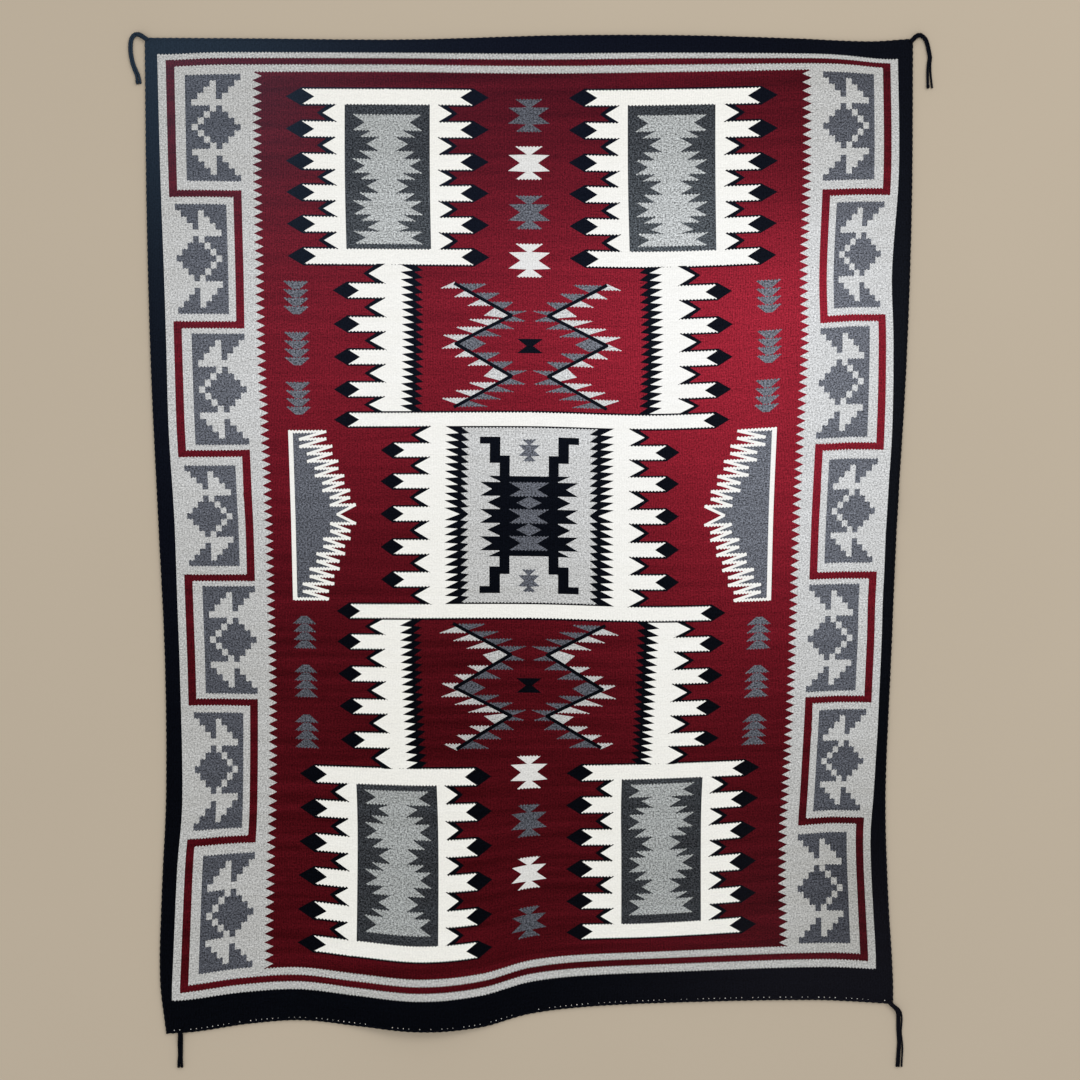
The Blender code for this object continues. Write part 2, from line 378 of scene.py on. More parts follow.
# Feathers: half height, and the places across of the corner, the vertex of the outline, the notch and the tip
OUTLINE = 1.8
BOX_HALF_ROW = 7.6
BLOCK_HALF_ROW = 7.0
BAR_HALF_ROW = 6.8
BOX_FEATHER = (85.5, 86.0, 73.2, 102.0)
BAR_FEATHER = (184.5, 185.0, 173.0, 199.5)
CENTRE_FEATHER = (136.5, 137.0, 125.5, 150.0)
BOX_FEATHER_ROOT = 50.0
CONNECTOR_ROOT = 140.0
CENTRE_ROOT = 90.0

# Teeth between the feathers: their root, the tip of the white one and the tip of the black edge round it
TOOTH_EDGE = 8.5
BOX_TOOTH = (50.5, 64.8, 70.7)
CONNECTOR_TOOTH = (146.0, 163.0, 168.7)
CENTRE_TOOTH = (98.7, 114.7, 120.0)

# Boxes in the corners: half widths of the white one and the dark one, then half of the light comb in it
BOX_WHITE = 50.5
BOX_DARK = 42.7
BOX_COMB_TOP = ((34.5, 401.0), (22.6, 393.2))
BOX_COMB_TEETH = (385.2, 342.8, 300.4)
BOX_COMB_OUT = ((35.0, 0.0), (15.4, 0.0), (28.0, 6.4), (8.2, 6.4), (20.8, 13.3))
BOX_COMB_BACK = ((8.2, 20.4), (28.0, 20.4), (15.4, 28.4), (35.0, 28.4), (22.6, 35.3))
BOX_COMB_LAST = ((8.2, 17.1), (35.0, 17.1), (22.6, 23.3))
BOX_COMB_END = (34.5, 270.7)

# Saw edges on the inner side of the connectors: valley and tip of the black one and of the white one
SAW_TEETH = 20
SAW_TIP_SHARE = 0.2
BLACK_SAW = (116.5, 108.0)
WHITE_SAW = (131.0, 118.5)

# The block in the middle of the rug: its white panel, then its black band and light field with stepped sides
CENTRE_PANEL_TOP = 89.6
STEP_COUNT = 11
STEP_START = 6.2
STEP_PITCH = 7.5
STEP_RISE = 1.0
BLACK_BAND = (69.0, 84.5, 71.0, 89.4)
LIGHT_FIELD = (60.0, 68.0, 60.0, 87.8)

# The black figure in it: hooks and body as left, right, low and high, and teeth at places along the rug
FIGURE_HOOKS = ((29, 49.5, 71.5, 78.5), (29, 39.5, 52, 78.5), (19.5, 29.5, 36, 59.5))
FIGURE_BODY = (-29, 29, -41.5, 38.8)
LONG_TOOTH = ((20, -7), (49, -7), (37, 0), (49, 7), (20, 7))
LONG_TEETH = (25.7, -1.6, -29.0)
SHORT_TOOTH = ((20, -6.5), (28, -6.5), (41.5, 0), (28, 6.5), (20, 6.5))
SHORT_TEETH = (12.1, -15.3)
END_TOOTH = (20, 28, 41)
END_TEETH = ((33.0, 39.0), (-36.0, -42.0))
FIGURE_GLASS = ((20, 7), (8.3, 0), (20, -7))
FIGURE_GLASSES = (25.5, -1.6, -28.6)
FIGURE_DIAMOND = ((0, 6.3), (12.5, 0), (0, -6.3), (-12.5, 0))
FIGURE_DIAMONDS = (12.0, -15.1)

# Small motifs down the middle: right half of the shape, then place along, yarn, share of width and of height
MOTIF = ((13.5, 16.5), (2.0, 8.5), (20.5, 8.0), (9.0, 0.0), (21.0, -8.0), (3.0, -9.0), (13.5, -16.5))
SMALL_MOTIFS = (
    (400.5, "dark", 1.0, 1.0),
    (352.5, "pale", 1.0, 1.0),
    (303.0, "dark", 1.0, 1.0),
    (255.0, "pale", 1.0, 1.0),
    (64.8, "dark", 0.52, 0.67),
    (-66.0, "dark", 0.52, 0.67),
    (-255.5, "pale", 0.94, 0.96),
    (-303.0, "dark", 0.92, 0.94),
    (-354.5, "pale", 0.90, 0.92),
    (-403.5, "dark", 0.90, 0.92),
)
LIGHTNING_GLASS = ((13, 7.2), (3.3, 0), (13, -7.2))
LIGHTNING_MIDDLE = 169.7

# Stacks of dark wedges beside the field's edge: places along, then number, top, pitch, height and corners
WEDGE_STACKS = (217.0, 167.0, 118.0)
WEDGES = 4
WEDGE_TOP = 16
WEDGE_PITCH = 8.2
WEDGE_HEIGHT = 7.8
WEDGE_CORNERS = (223, 249, 239.5, 232.5)

# Arrowheads at the sides: steps and point of their white saw line, its width, and the white lines behind it
ARROW_STEPS = 10
ARROW_TOP = 84.3
ARROW_PITCH = 7.5
ARROW_VALLEY = 208.5
ARROW_VALLEY_STEP = 6.3
ARROW_TIP = 236.0
ARROW_TIP_STEP = 8.0
ARROW_POINT = (196.5, 0.0)
ARROW_BACK = 248
ARROW_FILL_TOP = 85
ARROW_BACK_LINE = (243.2, 248, -85.5, 85.5)
ARROW_END_LINE = (208.5, 248, 83, 85.7)
ARROW_LINE_WIDTH = 2.7

# Lightning: the black line's corners and width, and its teeth's first place and pitch, light and dark
LIGHTNING_LINE = ((75.5, 231.5), (18.5, 200.0), (75.5, 172.0), (18.5, 139.5), (75.5, 109.0))
LIGHTNING_WIDTH = 3.4
DOWNWARD_TEETH = (4.5, 8.6, 9.0)
UPWARD_TEETH = (8.8, 7.7, 7.4)
LIGHT_TEETH = 3
LIGHT_HEIGHT = 6.8
LIGHT_REACH = 14.6
LIGHT_STEP = 13.5
LIGHT_OVERHANG = -2.0
LAST_LIGHT_DROP = 1.2
LAST_LIGHT_REACH = 28
DARK_TEETH = 4
DARK_REACH = 33.5
DARK_STEP = 13.1
DARK_SHARE = 0.9
DIAMOND_CORNER = (17, 7.0)
DIAMOND_REACH = 31
RUN_OVERLAP = 0.6


def smooth_weights(places, at):
    """For each position, the place before it, the share of the way on, and the span to the next place."""
    places = np.asarray(places)
    step = np.clip(np.searchsorted(places, at, side="right") - 1, 0, len(places) - 2)
    span = places[step + 1] - places[step]
    share = np.clip((at - places[step]) / span, 0.0, 1.0)
    return step, share, span


def slopes(places, values):
    """How steep a smooth curve through the values is at each place, along the last axis."""
    places = np.asarray(places)
    last = len(places) - 1
    before = np.maximum(np.arange(last + 1) - 1, 0)
    after = np.minimum(np.arange(last + 1) + 1, last)
    return (values[..., after] - values[..., before]) / (places[after] - places[before])


def value_at(table, number):
    """One value for each position: from the table itself, or from that position's own row of it."""
    if table.ndim == 1:
        return table[number]
    return np.take_along_axis(table, number[:, None], axis=1)[:, 0]


def smooth_read(places, values, at):
    """Read curves, one row of values for each position or one for all, at the positions."""
    step, share, span = smooth_weights(places, at)
    steep = slopes(places, values)
    square = share ** 2
    cube = share ** 3
    return (
        (2 * cube - 3 * square + 1) * value_at(values, step)
        + (cube - 2 * square + share) * span * value_at(steep, step)
        + (3 * square - 2 * cube) * value_at(values, step + 1)
        + (cube - square) * span * value_at(steep, step + 1)
    )


def drift(table, places, u, v):
    """Read a drift table at places across and along."""
    rows = np.array(table)
    columns = [smooth_read(rows[:, 0], rows[:, number + 1], v) for number in range(len(places))]
    return smooth_read(places, np.stack(columns, axis=1), u)


def column(rows, number):
    """One column of a table."""
    return np.array([row[number] for row in rows])


def on_floor(u, v):
    """Where places of the chart lie, in metres across and along."""
    x = CHART_MIDDLE_X + (u + drift(SIDEWAYS, ACROSS, u, v)) * STITCH
    edge = smooth_read(column(BOTTOM_EDGE, 0), column(BOTTOM_EDGE, 1), x) - CHART_MIDDLE_Y
    fade = np.clip((WAVE_STARTS - v) / (WAVE_STARTS - WAVE_FULL), 0.0, 1.0)
    wave = (edge - CHART_END * STITCH) * fade ** 2 * (3 - 2 * fade)
    fall = drift(ENDWAYS, ALONG_PLACES, u, v)
    for corner_u, corner_v, reach, droop in DROOPING_CORNERS:
        fall = fall + droop * np.exp(-((u - corner_u) ** 2 + (v - corner_v) ** 2) / (2 * reach ** 2))
    y = CHART_MIDDLE_Y + (v - fall) * STITCH + wave
    return x, y


def in_chart(x, y):
    """The places of the chart that lie at points of the floor, closed in on step by step."""
    u = (x - CHART_MIDDLE_X) / STITCH
    v = (y - CHART_MIDDLE_Y) / STITCH
    for _ in range(SETTLING_STEPS):
        there_x, there_y = on_floor(u, v)
        u = u + (x - there_x) / STITCH
        v = v + (y - there_y) / STITCH
    return u, v


def rectangle(left, right, low, high):
    """Corners of an upright rectangle."""
    return [(left, low), (right, low), (right, high), (left, high)]


def both_sides(outline):
    """An outline and its mirror image on the other side of the rug."""
    return [outline, [(-u, v) for u, v in outline]]


def both_ends(outline):
    """An outline and its mirror image at the other end of the rug."""
    return [outline, [(u, -v) for u, v in outline]]


def four_quarters(outline):
    """An outline in all four quarters of the rug."""
    return [turned for side in both_sides(outline) for turned in both_ends(side)]


def in_yarn(yarn, outlines, turning):
    """Outlines in one yarn, each with its mirror images."""
    return [(yarn, turned) for outline in outlines for turned in turning(outline)]


def whole_from(side):
    """A whole outline from its right half, mirrored in the rug's middle line."""
    return side + [(-u, v) for u, v in reversed(side)]


def moved_along(outline, middle):
    """An outline moved along the rug."""
    return [(u, middle + v) for u, v in outline]


def stroke(line, width):
    """One quad for each run of a line, a little overlong so that the runs meet."""
    quads = []
    for (u0, v0), (u1, v1) in zip(line, line[1:]):
        length = ((u1 - u0) ** 2 + (v1 - v0) ** 2) ** 0.5
        du = (u1 - u0) / length * width / 2
        dv = (v1 - v0) / length * width / 2
        quads.append([
            (u0 - du * RUN_OVERLAP - dv, v0 - dv * RUN_OVERLAP + du),
            (u1 + du * RUN_OVERLAP - dv, v1 + dv * RUN_OVERLAP + du),
            (u1 + du * RUN_OVERLAP + dv, v1 + dv * RUN_OVERLAP - du),
            (u0 - du * RUN_OVERLAP + dv, v0 - dv * RUN_OVERLAP - du),
        ])
    return quads


def border_shapes():
    """The light border and the red line that meanders through it."""
    shapes = [("light", rectangle(-BORDER_HALF_WIDTH, BORDER_HALF_WIDTH, BORDER_BOTTOM, BORDER_TOP))]
    reach = LINE_OUTER_U + LINE_HALF_WIDTH
    across = rectangle(-reach, reach, LINE_END_V - LINE_HALF_HEIGHT, LINE_END_V + LINE_HALF_HEIGHT)
    shapes += in_yarn("red", [across], both_ends)
    first, second, third = LINE_TURNS
    corners = [
        (LINE_OUTER_U, LINE_END_V), (LINE_OUTER_U, first), (LINE_INNER_U, first), (LINE_INNER_U, second),
        (LINE_OUTER_U, second), (LINE_OUTER_U, third), (LINE_INNER_U, third), (LINE_INNER_U, 0.0),
    ]
    for (u0, v0), (u1, v1) in zip(corners, corners[1:]):
        low = min(v0, v1) - LINE_HALF_HEIGHT
        if min(v0, v1) == 0.0:
            low = 0.0
        high = max(v0, v1) + LINE_HALF_HEIGHT
        run = rectangle(min(u0, u1) - LINE_HALF_WIDTH, max(u0, u1) + LINE_HALF_WIDTH, low, high)
        shapes += in_yarn("red", [run], four_quarters)
    return shapes


def flower_block(middle, line_side, open_side, half_height):
    """Dark stitch blocks of one flower, row by row, and small overlaps that join the rows."""
    rows = FLOWER_ROWS + FLOWER_ROWS[-2::-1]
    row_height = 2 * half_height / len(rows)
    cell = (open_side - line_side) / len(rows[0])
    outlines = []
    for number, row in enumerate(rows):
        high = middle + half_height - number * row_height
        start = None
        for place, mark in enumerate(row + "."):
            if mark == "D" and start is None:
                start = place
            if mark == "." and start is not None:
                left, right = sorted((line_side + start * cell, line_side + place * cell))
                outlines.append(rectangle(left, right, high - row_height, high))
                start = None
    for number, (above, below) in enumerate(zip(rows, rows[1:])):
        level = middle + half_height - (number + 1) * row_height
        for place, marks in enumerate(zip(above, below)):
            if marks == ("D", "D"):
                left, right = sorted((line_side + place * cell, line_side + (place + 1) * cell))
                outlines.append(rectangle(left, right, level - ROW_OVERLAP, level + ROW_OVERLAP))
    return outlines


def flower_shapes():
    """The dark flowers in the bays of the border."""
    shapes = []
    for block in FLOWER_BLOCKS:
        shapes += in_yarn("dark", flower_block(*block), four_quarters)
    return shapes + in_yarn("dark", flower_block(*MIDDLE_FLOWER_BLOCK), both_sides)


def field_shape():
    """The red field with its toothed sides."""
    pitch = 2 * FIELD_HALF_HEIGHT / FIELD_TEETH
    side = []
    for tooth in range(FIELD_TEETH):
        top = FIELD_HALF_HEIGHT - tooth * pitch
        side += [(FIELD_VALLEY, top), (FIELD_TIP, top - pitch / 2)]
    side.append((FIELD_VALLEY, -FIELD_HALF_HEIGHT))
    return [("red", whole_from(side))]


def feather(root, ends, row, half):
    """A white bar with a swallowtail end, and the black outline with the diamond beyond it."""
    corner, vertex, notch, tip = ends
    low = row - half - OUTLINE
    high = row + half + OUTLINE
    black = [(root, low), (vertex, low), (tip, row), (vertex, high), (root, high)]
    white = [(root, row - half), (corner, row - half), (notch, row), (corner, row + half), (root, row + half)]
    return black, white


def tooth_between(places, low, high):
    """The white tooth between two feathers and the black edge round it."""
    root, white_tip, black_tip = places
    middle = (low + high) / 2
    edge = root + (TOOTH_EDGE if white_tip > root else -TOOTH_EDGE)
    black = [(root, low), (edge, low), (black_tip, middle), (edge, high), (root, high)]
    white = [(root, low), (white_tip, middle), (root, high)]
    return black, white


def feathered_side(middle, way, feathers, ends, tooth, levels, half):
    """Feathers, given by row and root, and the teeth between the levels, along one side of a block."""
    ends = [middle + way * place for place in ends]
    tooth = [middle + way * place for place in tooth]
    pairs = [feather(middle + way * root, ends, row, half) for row, root in feathers]
    pairs += [tooth_between(tooth, low + half, high - half) for low, high in zip(levels, levels[1:])]
    black, white = zip(*pairs)
    return list(black), list(white)


def box_comb():
    """Light comb shape inside a dark box, right half, from the top down."""
    points = list(BOX_COMB_TOP)
    for start in BOX_COMB_TEETH:
        back = BOX_COMB_LAST if start == BOX_COMB_TEETH[-1] else BOX_COMB_BACK
        points += [(u, start - drop) for u, drop in BOX_COMB_OUT + back]
    return points + [BOX_COMB_END]


def corner_box_shapes():
    """The feathered boxes near the corners, each with a dark box and a light comb in it."""
    ends = (BOX_ROWS[0], BOX_ROWS[-1])
    feathers = [(row, 0.0 if row in ends else BOX_FEATHER_ROOT) for row in BOX_ROWS]
    black, white = [], []
    for way in (1, -1):
        side = feathered_side(BOX_CENTRE, way, feathers, BOX_FEATHER, BOX_TOOTH, BOX_ROWS, BOX_HALF_ROW)
        black += side[0]
        white += side[1]
    low, high = ends
    left, right = BOX_CENTRE - BOX_WHITE, BOX_CENTRE + BOX_WHITE
    white.append(rectangle(left, right, low - BOX_HALF_ROW, high + BOX_HALF_ROW))
    left, right = BOX_CENTRE - BOX_DARK, BOX_CENTRE + BOX_DARK
    dark = rectangle(left, right, low + BOX_HALF_ROW, high - BOX_HALF_ROW)
    light = [(BOX_CENTRE + u, v) for u, v in whole_from(box_comb())]
    shapes = []
    for yarn, outlines in (("black", black), ("white", white), ("deep", [dark]), ("soft", [light])):
        shapes += in_yarn(yarn, outlines, four_quarters)
    return shapes


def saw_edge(valley, tip, start, pitch):
    """Points of a saw edge going up, with the tip low in each tooth."""
    points = []
    for k in range(SAW_TEETH):
        points += [(valley, start + k * pitch), (tip, start + (k + SAW_TIP_SHARE) * pitch)]
    points.append((valley, start + SAW_TEETH * pitch))
    return points


def connector_shapes():
    """The feathered strips between the corner boxes and the middle block."""
    feathers = [(row, CONNECTOR_ROOT) for row in CONNECTOR_ROWS]
    levels = (BAR_ROW, *CONNECTOR_ROWS, BOX_ROWS[0])
    black, white = feathered_side(0.0, 1, feathers, BAR_FEATHER, CONNECTOR_TOOTH, levels, BLOCK_HALF_ROW)
    low = BAR_ROW + BLOCK_HALF_ROW
    high = BOX_ROWS[0] - BOX_HALF_ROW
    pitch = (high - low) / SAW_TEETH
    black.append([(CONNECTOR_ROOT, low)] + saw_edge(*BLACK_SAW, low, pitch) + [(CONNECTOR_ROOT, high)])
    root = CONNECTOR_TOOTH[0]
    white.append([(root, low)] + saw_edge(*WHITE_SAW, low, pitch) + [(root, high)])
    return in_yarn("black", black, four_quarters) + in_yarn("white", white, four_quarters)


def bar_shapes():
    """The two long white bars above and below the middle block."""
    black, white = feather(0.0, BAR_FEATHER, BAR_ROW, BAR_HALF_ROW)
    return in_yarn("black", [black], four_quarters) + in_yarn("white", [white], four_quarters)


def stepped_panel(start, outer, inner, top):
    """A quarter of a panel whose side goes in and out by steps."""
    points = [(start, 0.0)]
    for k in range(STEP_COUNT):
        level = STEP_START + STEP_PITCH * k
        points += [(outer, level), (inner, level + STEP_RISE)]
    return points + [(outer, top), (0.0, top), (0.0, 0.0)]


def centre_block_shapes():
    """The feathered block in the middle, with its black band and light field."""
    feathers = [(row, CENTRE_ROOT) for row in CENTRE_ROWS]
    levels = (*CENTRE_ROWS, BAR_ROW)
    black, white = feathered_side(0.0, 1, feathers, CENTRE_FEATHER, CENTRE_TOOTH, levels, BLOCK_HALF_ROW)
    white.append(rectangle(0.0, CENTRE_TOOTH[0], 0.0, CENTRE_PANEL_TOP))
    shapes = in_yarn("black", black, four_quarters) + in_yarn("white", white, four_quarters)
    shapes += in_yarn("black", [stepped_panel(*BLACK_BAND)], four_quarters)
    shapes += in_yarn("light", [stepped_panel(*LIGHT_FIELD)], four_quarters)
    return shapes


def centre_figure_shapes():
    """The black figure with hooked arms in the middle of the rug, and the dark shapes in it."""
    shapes = in_yarn("black", [rectangle(*hook) for hook in FIGURE_HOOKS], four_quarters)
    shapes.append(("black", rectangle(*FIGURE_BODY)))
    shapes += in_yarn("black", [moved_along(LONG_TOOTH, middle) for middle in LONG_TEETH], both_sides)
    shapes += in_yarn("black", [moved_along(SHORT_TOOTH, middle) for middle in SHORT_TEETH], both_sides)
    inner, shoulder, tip = END_TOOTH
    ends = [[(inner, root), (shoulder, root), (tip, edge), (inner, edge)] for root, edge in END_TEETH]
    shapes += in_yarn("black", ends, both_sides)
    shapes += [("dark", whole_from(moved_along(FIGURE_GLASS, middle))) for middle in FIGURE_GLASSES]
    shapes += [("dark", moved_along(FIGURE_DIAMOND, middle)) for middle in FIGURE_DIAMONDS]
    return shapes


def motif_shapes():
    """Small motifs down the middle, stacks of wedges at the sides and a black glass amid the lightning."""
    shapes = []
    for middle, yarn, width_share, height_share in SMALL_MOTIFS:
        side = [(u * width_share, middle + v * height_share) for u, v in MOTIF]
        shapes.append((yarn, whole_from(side)))
    first, second, third, fourth = WEDGE_CORNERS
    for middle in WEDGE_STACKS:
        for number in range(WEDGES):
            top = middle + WEDGE_TOP - number * WEDGE_PITCH
            low = top - WEDGE_HEIGHT
            wedge = [(first, top), (second, top), (third, low), (fourth, low)]
            shapes += in_yarn("dark", [wedge], four_quarters)
    glass = whole_from(moved_along(LIGHTNING_GLASS, LIGHTNING_MIDDLE))
    return shapes + in_yarn("black", [glass], both_ends)


def arrowhead_shapes():
    """The large arrowheads at both sides: dark inside, with a white saw line round them."""
    line = [(ARROW_VALLEY, ARROW_TOP)]
    for k in range(1, ARROW_STEPS + 1):
        level = ARROW_TOP - ARROW_PITCH * k
        tip = (ARROW_TIP - ARROW_TIP_STEP * ((k - 1) // 2), level)
        valley = (ARROW_VALLEY - ARROW_VALLEY_STEP * (k // 2), level)
        line += [tip, valley]
    line.append(ARROW_POINT)
    fill = [(ARROW_BACK, 0), (ARROW_BACK, ARROW_FILL_TOP)] + line
    shapes = in_yarn("dark", [fill], four_quarters)
    shapes += in_yarn("white", [rectangle(*ARROW_BACK_LINE)], both_sides)
    shapes += in_yarn("white", [rectangle(*ARROW_END_LINE)], four_quarters)
    return shapes + in_yarn("white", stroke(line, ARROW_LINE_WIDTH), four_quarters)


def on_run(start, end, drop):
    """Place across of a point of the lightning, by its drop from the start of a run."""
    rise = abs(end[1] - start[1])
    return start[0] + (end[0] - start[0]) * min(max(drop, 0), rise) / rise


def lightning_teeth(start, end, light_first, light_pitch, dark_pitch, with_diamond):
    """Teeth along one run of the black line, from its outer end to its inner end."""
    (u0, v0), (u1, v1) = start, end
    way = 1 if v1 < v0 else -1
    rise = abs(v1 - v0)
    light, dark = [], []
    for k in range(LIGHT_TEETH):
        low = light_first + light_pitch * k
        top = low - LIGHT_HEIGHT
        light.append([
            (on_run(start, end, top), v0 - way * max(top, LIGHT_OVERHANG)),
            (u0 + LIGHT_REACH - LIGHT_STEP * k, v0 - way * low),
            (on_run(start, end, low), v0 - way * low),
        ])
    top = light_first + light_pitch * (LIGHT_TEETH - 1) + LAST_LIGHT_DROP
    foot = v0 - way * rise
    light.append([(on_run(start, end, top), v0 - way * top), (u1 + LAST_LIGHT_REACH, foot), (u1, foot)])
    for k in range(DARK_TEETH):
        if k == 0 and with_diamond:
            corner_reach, corner_drop = DIAMOND_CORNER
            dark.append([(u0, v0), (u0 - corner_reach, v0 - way * corner_drop), (u0 - DIAMOND_REACH, v0)])
            continue
        top = dark_pitch * k
        low = min(top + dark_pitch * DARK_SHARE, rise)
        dark.append([
            (on_run(start, end, top), v0 - way * top),
            (u0 - DARK_REACH - DARK_STEP * k, v0 - way * top),
            (on_run(start, end, low), v0 - way * low),
        ])
    return light, dark


def lightning_shapes():
    """The lightning: a black line with light teeth on one side and dark teeth on the other."""
    line = LIGHTNING_LINE
    runs = [
        (line[0], line[1], DOWNWARD_TEETH, False),
        (line[2], line[1], UPWARD_TEETH, True),
        (line[2], line[3], DOWNWARD_TEETH, True),
        (line[4], line[3], UPWARD_TEETH, False),
    ]
    shapes = []
    for start, end, teeth, with_diamond in runs:
        light, dark = lightning_teeth(start, end, *teeth, with_diamond)
        shapes += in_yarn("light", light, four_quarters)
        shapes += in_yarn("dark", dark, four_quarters)
    return shapes + in_yarn("black", stroke(line, LIGHTNING_WIDTH), four_quarters)


def chart():
    """Every coloured shape of the design, each woven over the ones before it."""
    blocks = (
        border_shapes, flower_shapes, field_shape, corner_box_shapes, connector_shapes, bar_shapes,
        centre_block_shapes, centre_figure_shapes, motif_shapes, arrowhead_shapes, lightning_shapes,
    )
    return [shape for block in blocks for shape in block()]


def soft_hump(share):
    """One at the middle, level at both ends, and zero beyond them."""
    return np.where(np.abs(share) < 1.0, np.cos(np.clip(share, -1.0, 1.0) * math.pi / 2) ** 2, 0.0)


def lift(x, y):
    """Height of the rug's underside above the floor, at arrays of places."""
    height = np.zeros_like(x)
    for middle_x, middle_y, turn, half_length, half_width, rise in RIPPLES:
        cosine = math.cos(math.radians(turn))
        sine = math.sin(math.radians(turn))
        along = (x - middle_x) * cosine + (y - middle_y) * sine
        across = (y - middle_y) * cosine - (x - middle_x) * sine
        height = height + rise * soft_hump(along / half_length) * soft_hump(across / half_width)
    return height


def read_table(rows, number, at):
    """Read one column of a table on a smooth curve through its rows."""
    return smooth_read(column(rows, 0), column(rows, number), at)


def rug_points(across, along, band):
    """Points of the underside a band in from the edge, at shares from 0 to 1 across the rug and along it."""
    nominal_x = NOMINAL_HALF_WIDTH * (2 * across - 1)
    low = read_table(BOTTOM_EDGE, 1, nominal_x) + band
    high = read_table(TOP_EDGE, 1, nominal_x) - band
    y = low + (high - low) * along
    left = read_table(LONG_EDGES, 1, y) + band
    right = read_table(LONG_EDGES, 2, y) - band
    x = left + (right - left) * across
    return np.stack([x, y, lift(x, y)], axis=1)


def edge_run(side, steps, band=CORD_BAND):
    """Evenly stepped points of one edge of the sheet, left to right or bottom to top."""
    share = np.linspace(0.0, 1.0, steps + 1)
    start = np.zeros_like(share)
    places = {
        "left": (start, share),
        "right": (start + 1, share),
        "bottom": (share, start),
        "top": (share, start + 1),
    }
    return rug_points(*places[side], band)


def rug_outline():
    """The sheet's edge in the chart, once round."""
    bottom = edge_run("bottom", EDGE_STEPS_ACROSS, WOVEN_BAND)[:-1]
    right = edge_run("right", EDGE_STEPS_ALONG, WOVEN_BAND)[:-1]
    top = edge_run("top", EDGE_STEPS_ACROSS, WOVEN_BAND)[::-1][:-1]
    left = edge_run("left", EDGE_STEPS_ALONG, WOVEN_BAND)[::-1][:-1]
    ring = np.concatenate([bottom, right, top, left])
    u, v = in_chart(ring[:, 0], ring[:, 1])
    return list(zip(u.tolist(), v.tolist()))


def woven_run(start, end, combed):
    """Points from one corner of a colour to the next, with the comb that beads make on a level edge."""
    (u0, v0), (u1, v1) = start, end
    points = [start]
    if combed and abs(v1 - v0) < NEARNESS and abs(u1 - u0) > COMB_SHORTEST:
        first = math.ceil((min(u0, u1) + COMB_STEP / 2) / COMB_STEP)
        last = math.floor((max(u0, u1) - COMB_STEP / 2) / COMB_STEP)
        comb = [(k * COMB_STEP, v0 + (COMB_DEPTH if k % 2 else -COMB_DEPTH)) for k in range(first, last + 1)]
        points += comb if u1 > u0 else comb[::-1]
        return points
    parts = math.ceil(math.hypot(u1 - u0, v1 - v0) / LONGEST_RUN)
    for k in range(1, parts):
        points.append((u0 + (u1 - u0) * k / parts, v0 + (v1 - v0) * k / parts))
    return points


def woven(outline, combed):
    """A colour's outline as the loom makes it."""
    points = []
    for start, end in zip(outline, outline[1:] + outline[:1]):
        points += woven_run(start, end, combed)
    return points


def inside(outline, u, v):
    """Which of the places lie inside an outline, by counting the edges to one side of each."""
    crossings = np.zeros(len(u), dtype=int)
    for (u0, v0), (u1, v1) in zip(outline, outline[1:] + outline[:1]):
        if v0 == v1:
            continue
        spans = (v >= min(v0, v1)) & (v < max(v0, v1))
        edge_u = u0 + (v - v0) / (v1 - v0) * (u1 - u0)
        crossings += spans & (edge_u > u)
    return crossings % 2 == 1


def paint(outlines, middles):
    """Number of the last outline over each place, or nothing where there is none."""
    owner = np.full(len(middles), -1)
    order = np.argsort(middles[:, 0])
    sorted_u = middles[order, 0]
    for number, outline in enumerate(outlines):
        corners = np.array(outline)
        lowest = corners.min(axis=0)
        highest = corners.max(axis=0)
        near = order[np.searchsorted(sorted_u, lowest[0]):np.searchsorted(sorted_u, highest[0])]
        near = near[(middles[near, 1] >= lowest[1]) & (middles[near, 1] <= highest[1])]
        hit = inside(outline, middles[near, 0], middles[near, 1])
        owner[near[hit]] = number
    return owner


def loose_points():
    """Even points all over the chart, so that the ripples have somewhere to bend."""
    last_column = round(CHART_HALF_WIDTH / LOOSE_STEP)
    last_row = round(CHART_HALF_HEIGHT / LOOSE_STEP)
    columns = range(-last_column, last_column + 1)
    rows = range(-last_row, last_row + 1)
    return [(i * LOOSE_STEP, j * LOOSE_STEP) for i in columns for j in rows]


def cut_chart(ground, outlines):
    """The chart cut along every outline: its points, its triangles and the outline that colours each."""
    points = []
    edges = []
    for outline in outlines:
        numbers = list(range(len(points), len(points) + len(outline)))
        edges += list(zip(numbers, numbers[1:] + numbers[:1]))
        points += outline
    points += loose_points()
    cut = delaunay_2d_cdt([Vector(point) for point in points], edges, [], 0, NEARNESS, False)
    flat = np.array([tuple(spot) for spot in cut[0]])
    triangles = np.array(cut[2])
    middles = flat[triangles].mean(axis=1)
    kept = inside(ground, middles[:, 0], middles[:, 1])
    owner = paint(outlines, middles)[kept]
    used, numbered = np.unique(triangles[kept], return_inverse=True)
    return flat[used], numbered.reshape(-1, 3), owner


def panel_mesh():
    """The chart cut into coloured triangles, laid on the rug's outline and ripples."""
    ground = rug_outline()
    outlines = [ground]
    yarns = ["black"]
    for yarn, outline in chart():
        outlines.append(woven(outline, yarn != "black"))
        yarns.append(yarn)
    flat, triangles, owner = cut_chart(ground, outlines)
    x, y = on_floor(flat[:, 0], flat[:, 1])
    mesh = bpy.data.meshes.new("rug_panel_weave")
    mesh.from_pydata(np.stack([x, y, lift(x, y)], axis=1).tolist(), [], triangles.tolist())
    slots = np.array([YARNS.index(yarn) for yarn in yarns])
    mesh.polygons.foreach_set("material_index", slots[owner])
    weave_map = mesh.uv_layers.new(name="weave")
    corners = np.empty(len(mesh.loops), dtype=np.int32)
    mesh.loops.foreach_get("vertex_index", corners)
    weave_map.data.foreach_set("uv", (flat[corners] * STITCH).ravel())
    return mesh


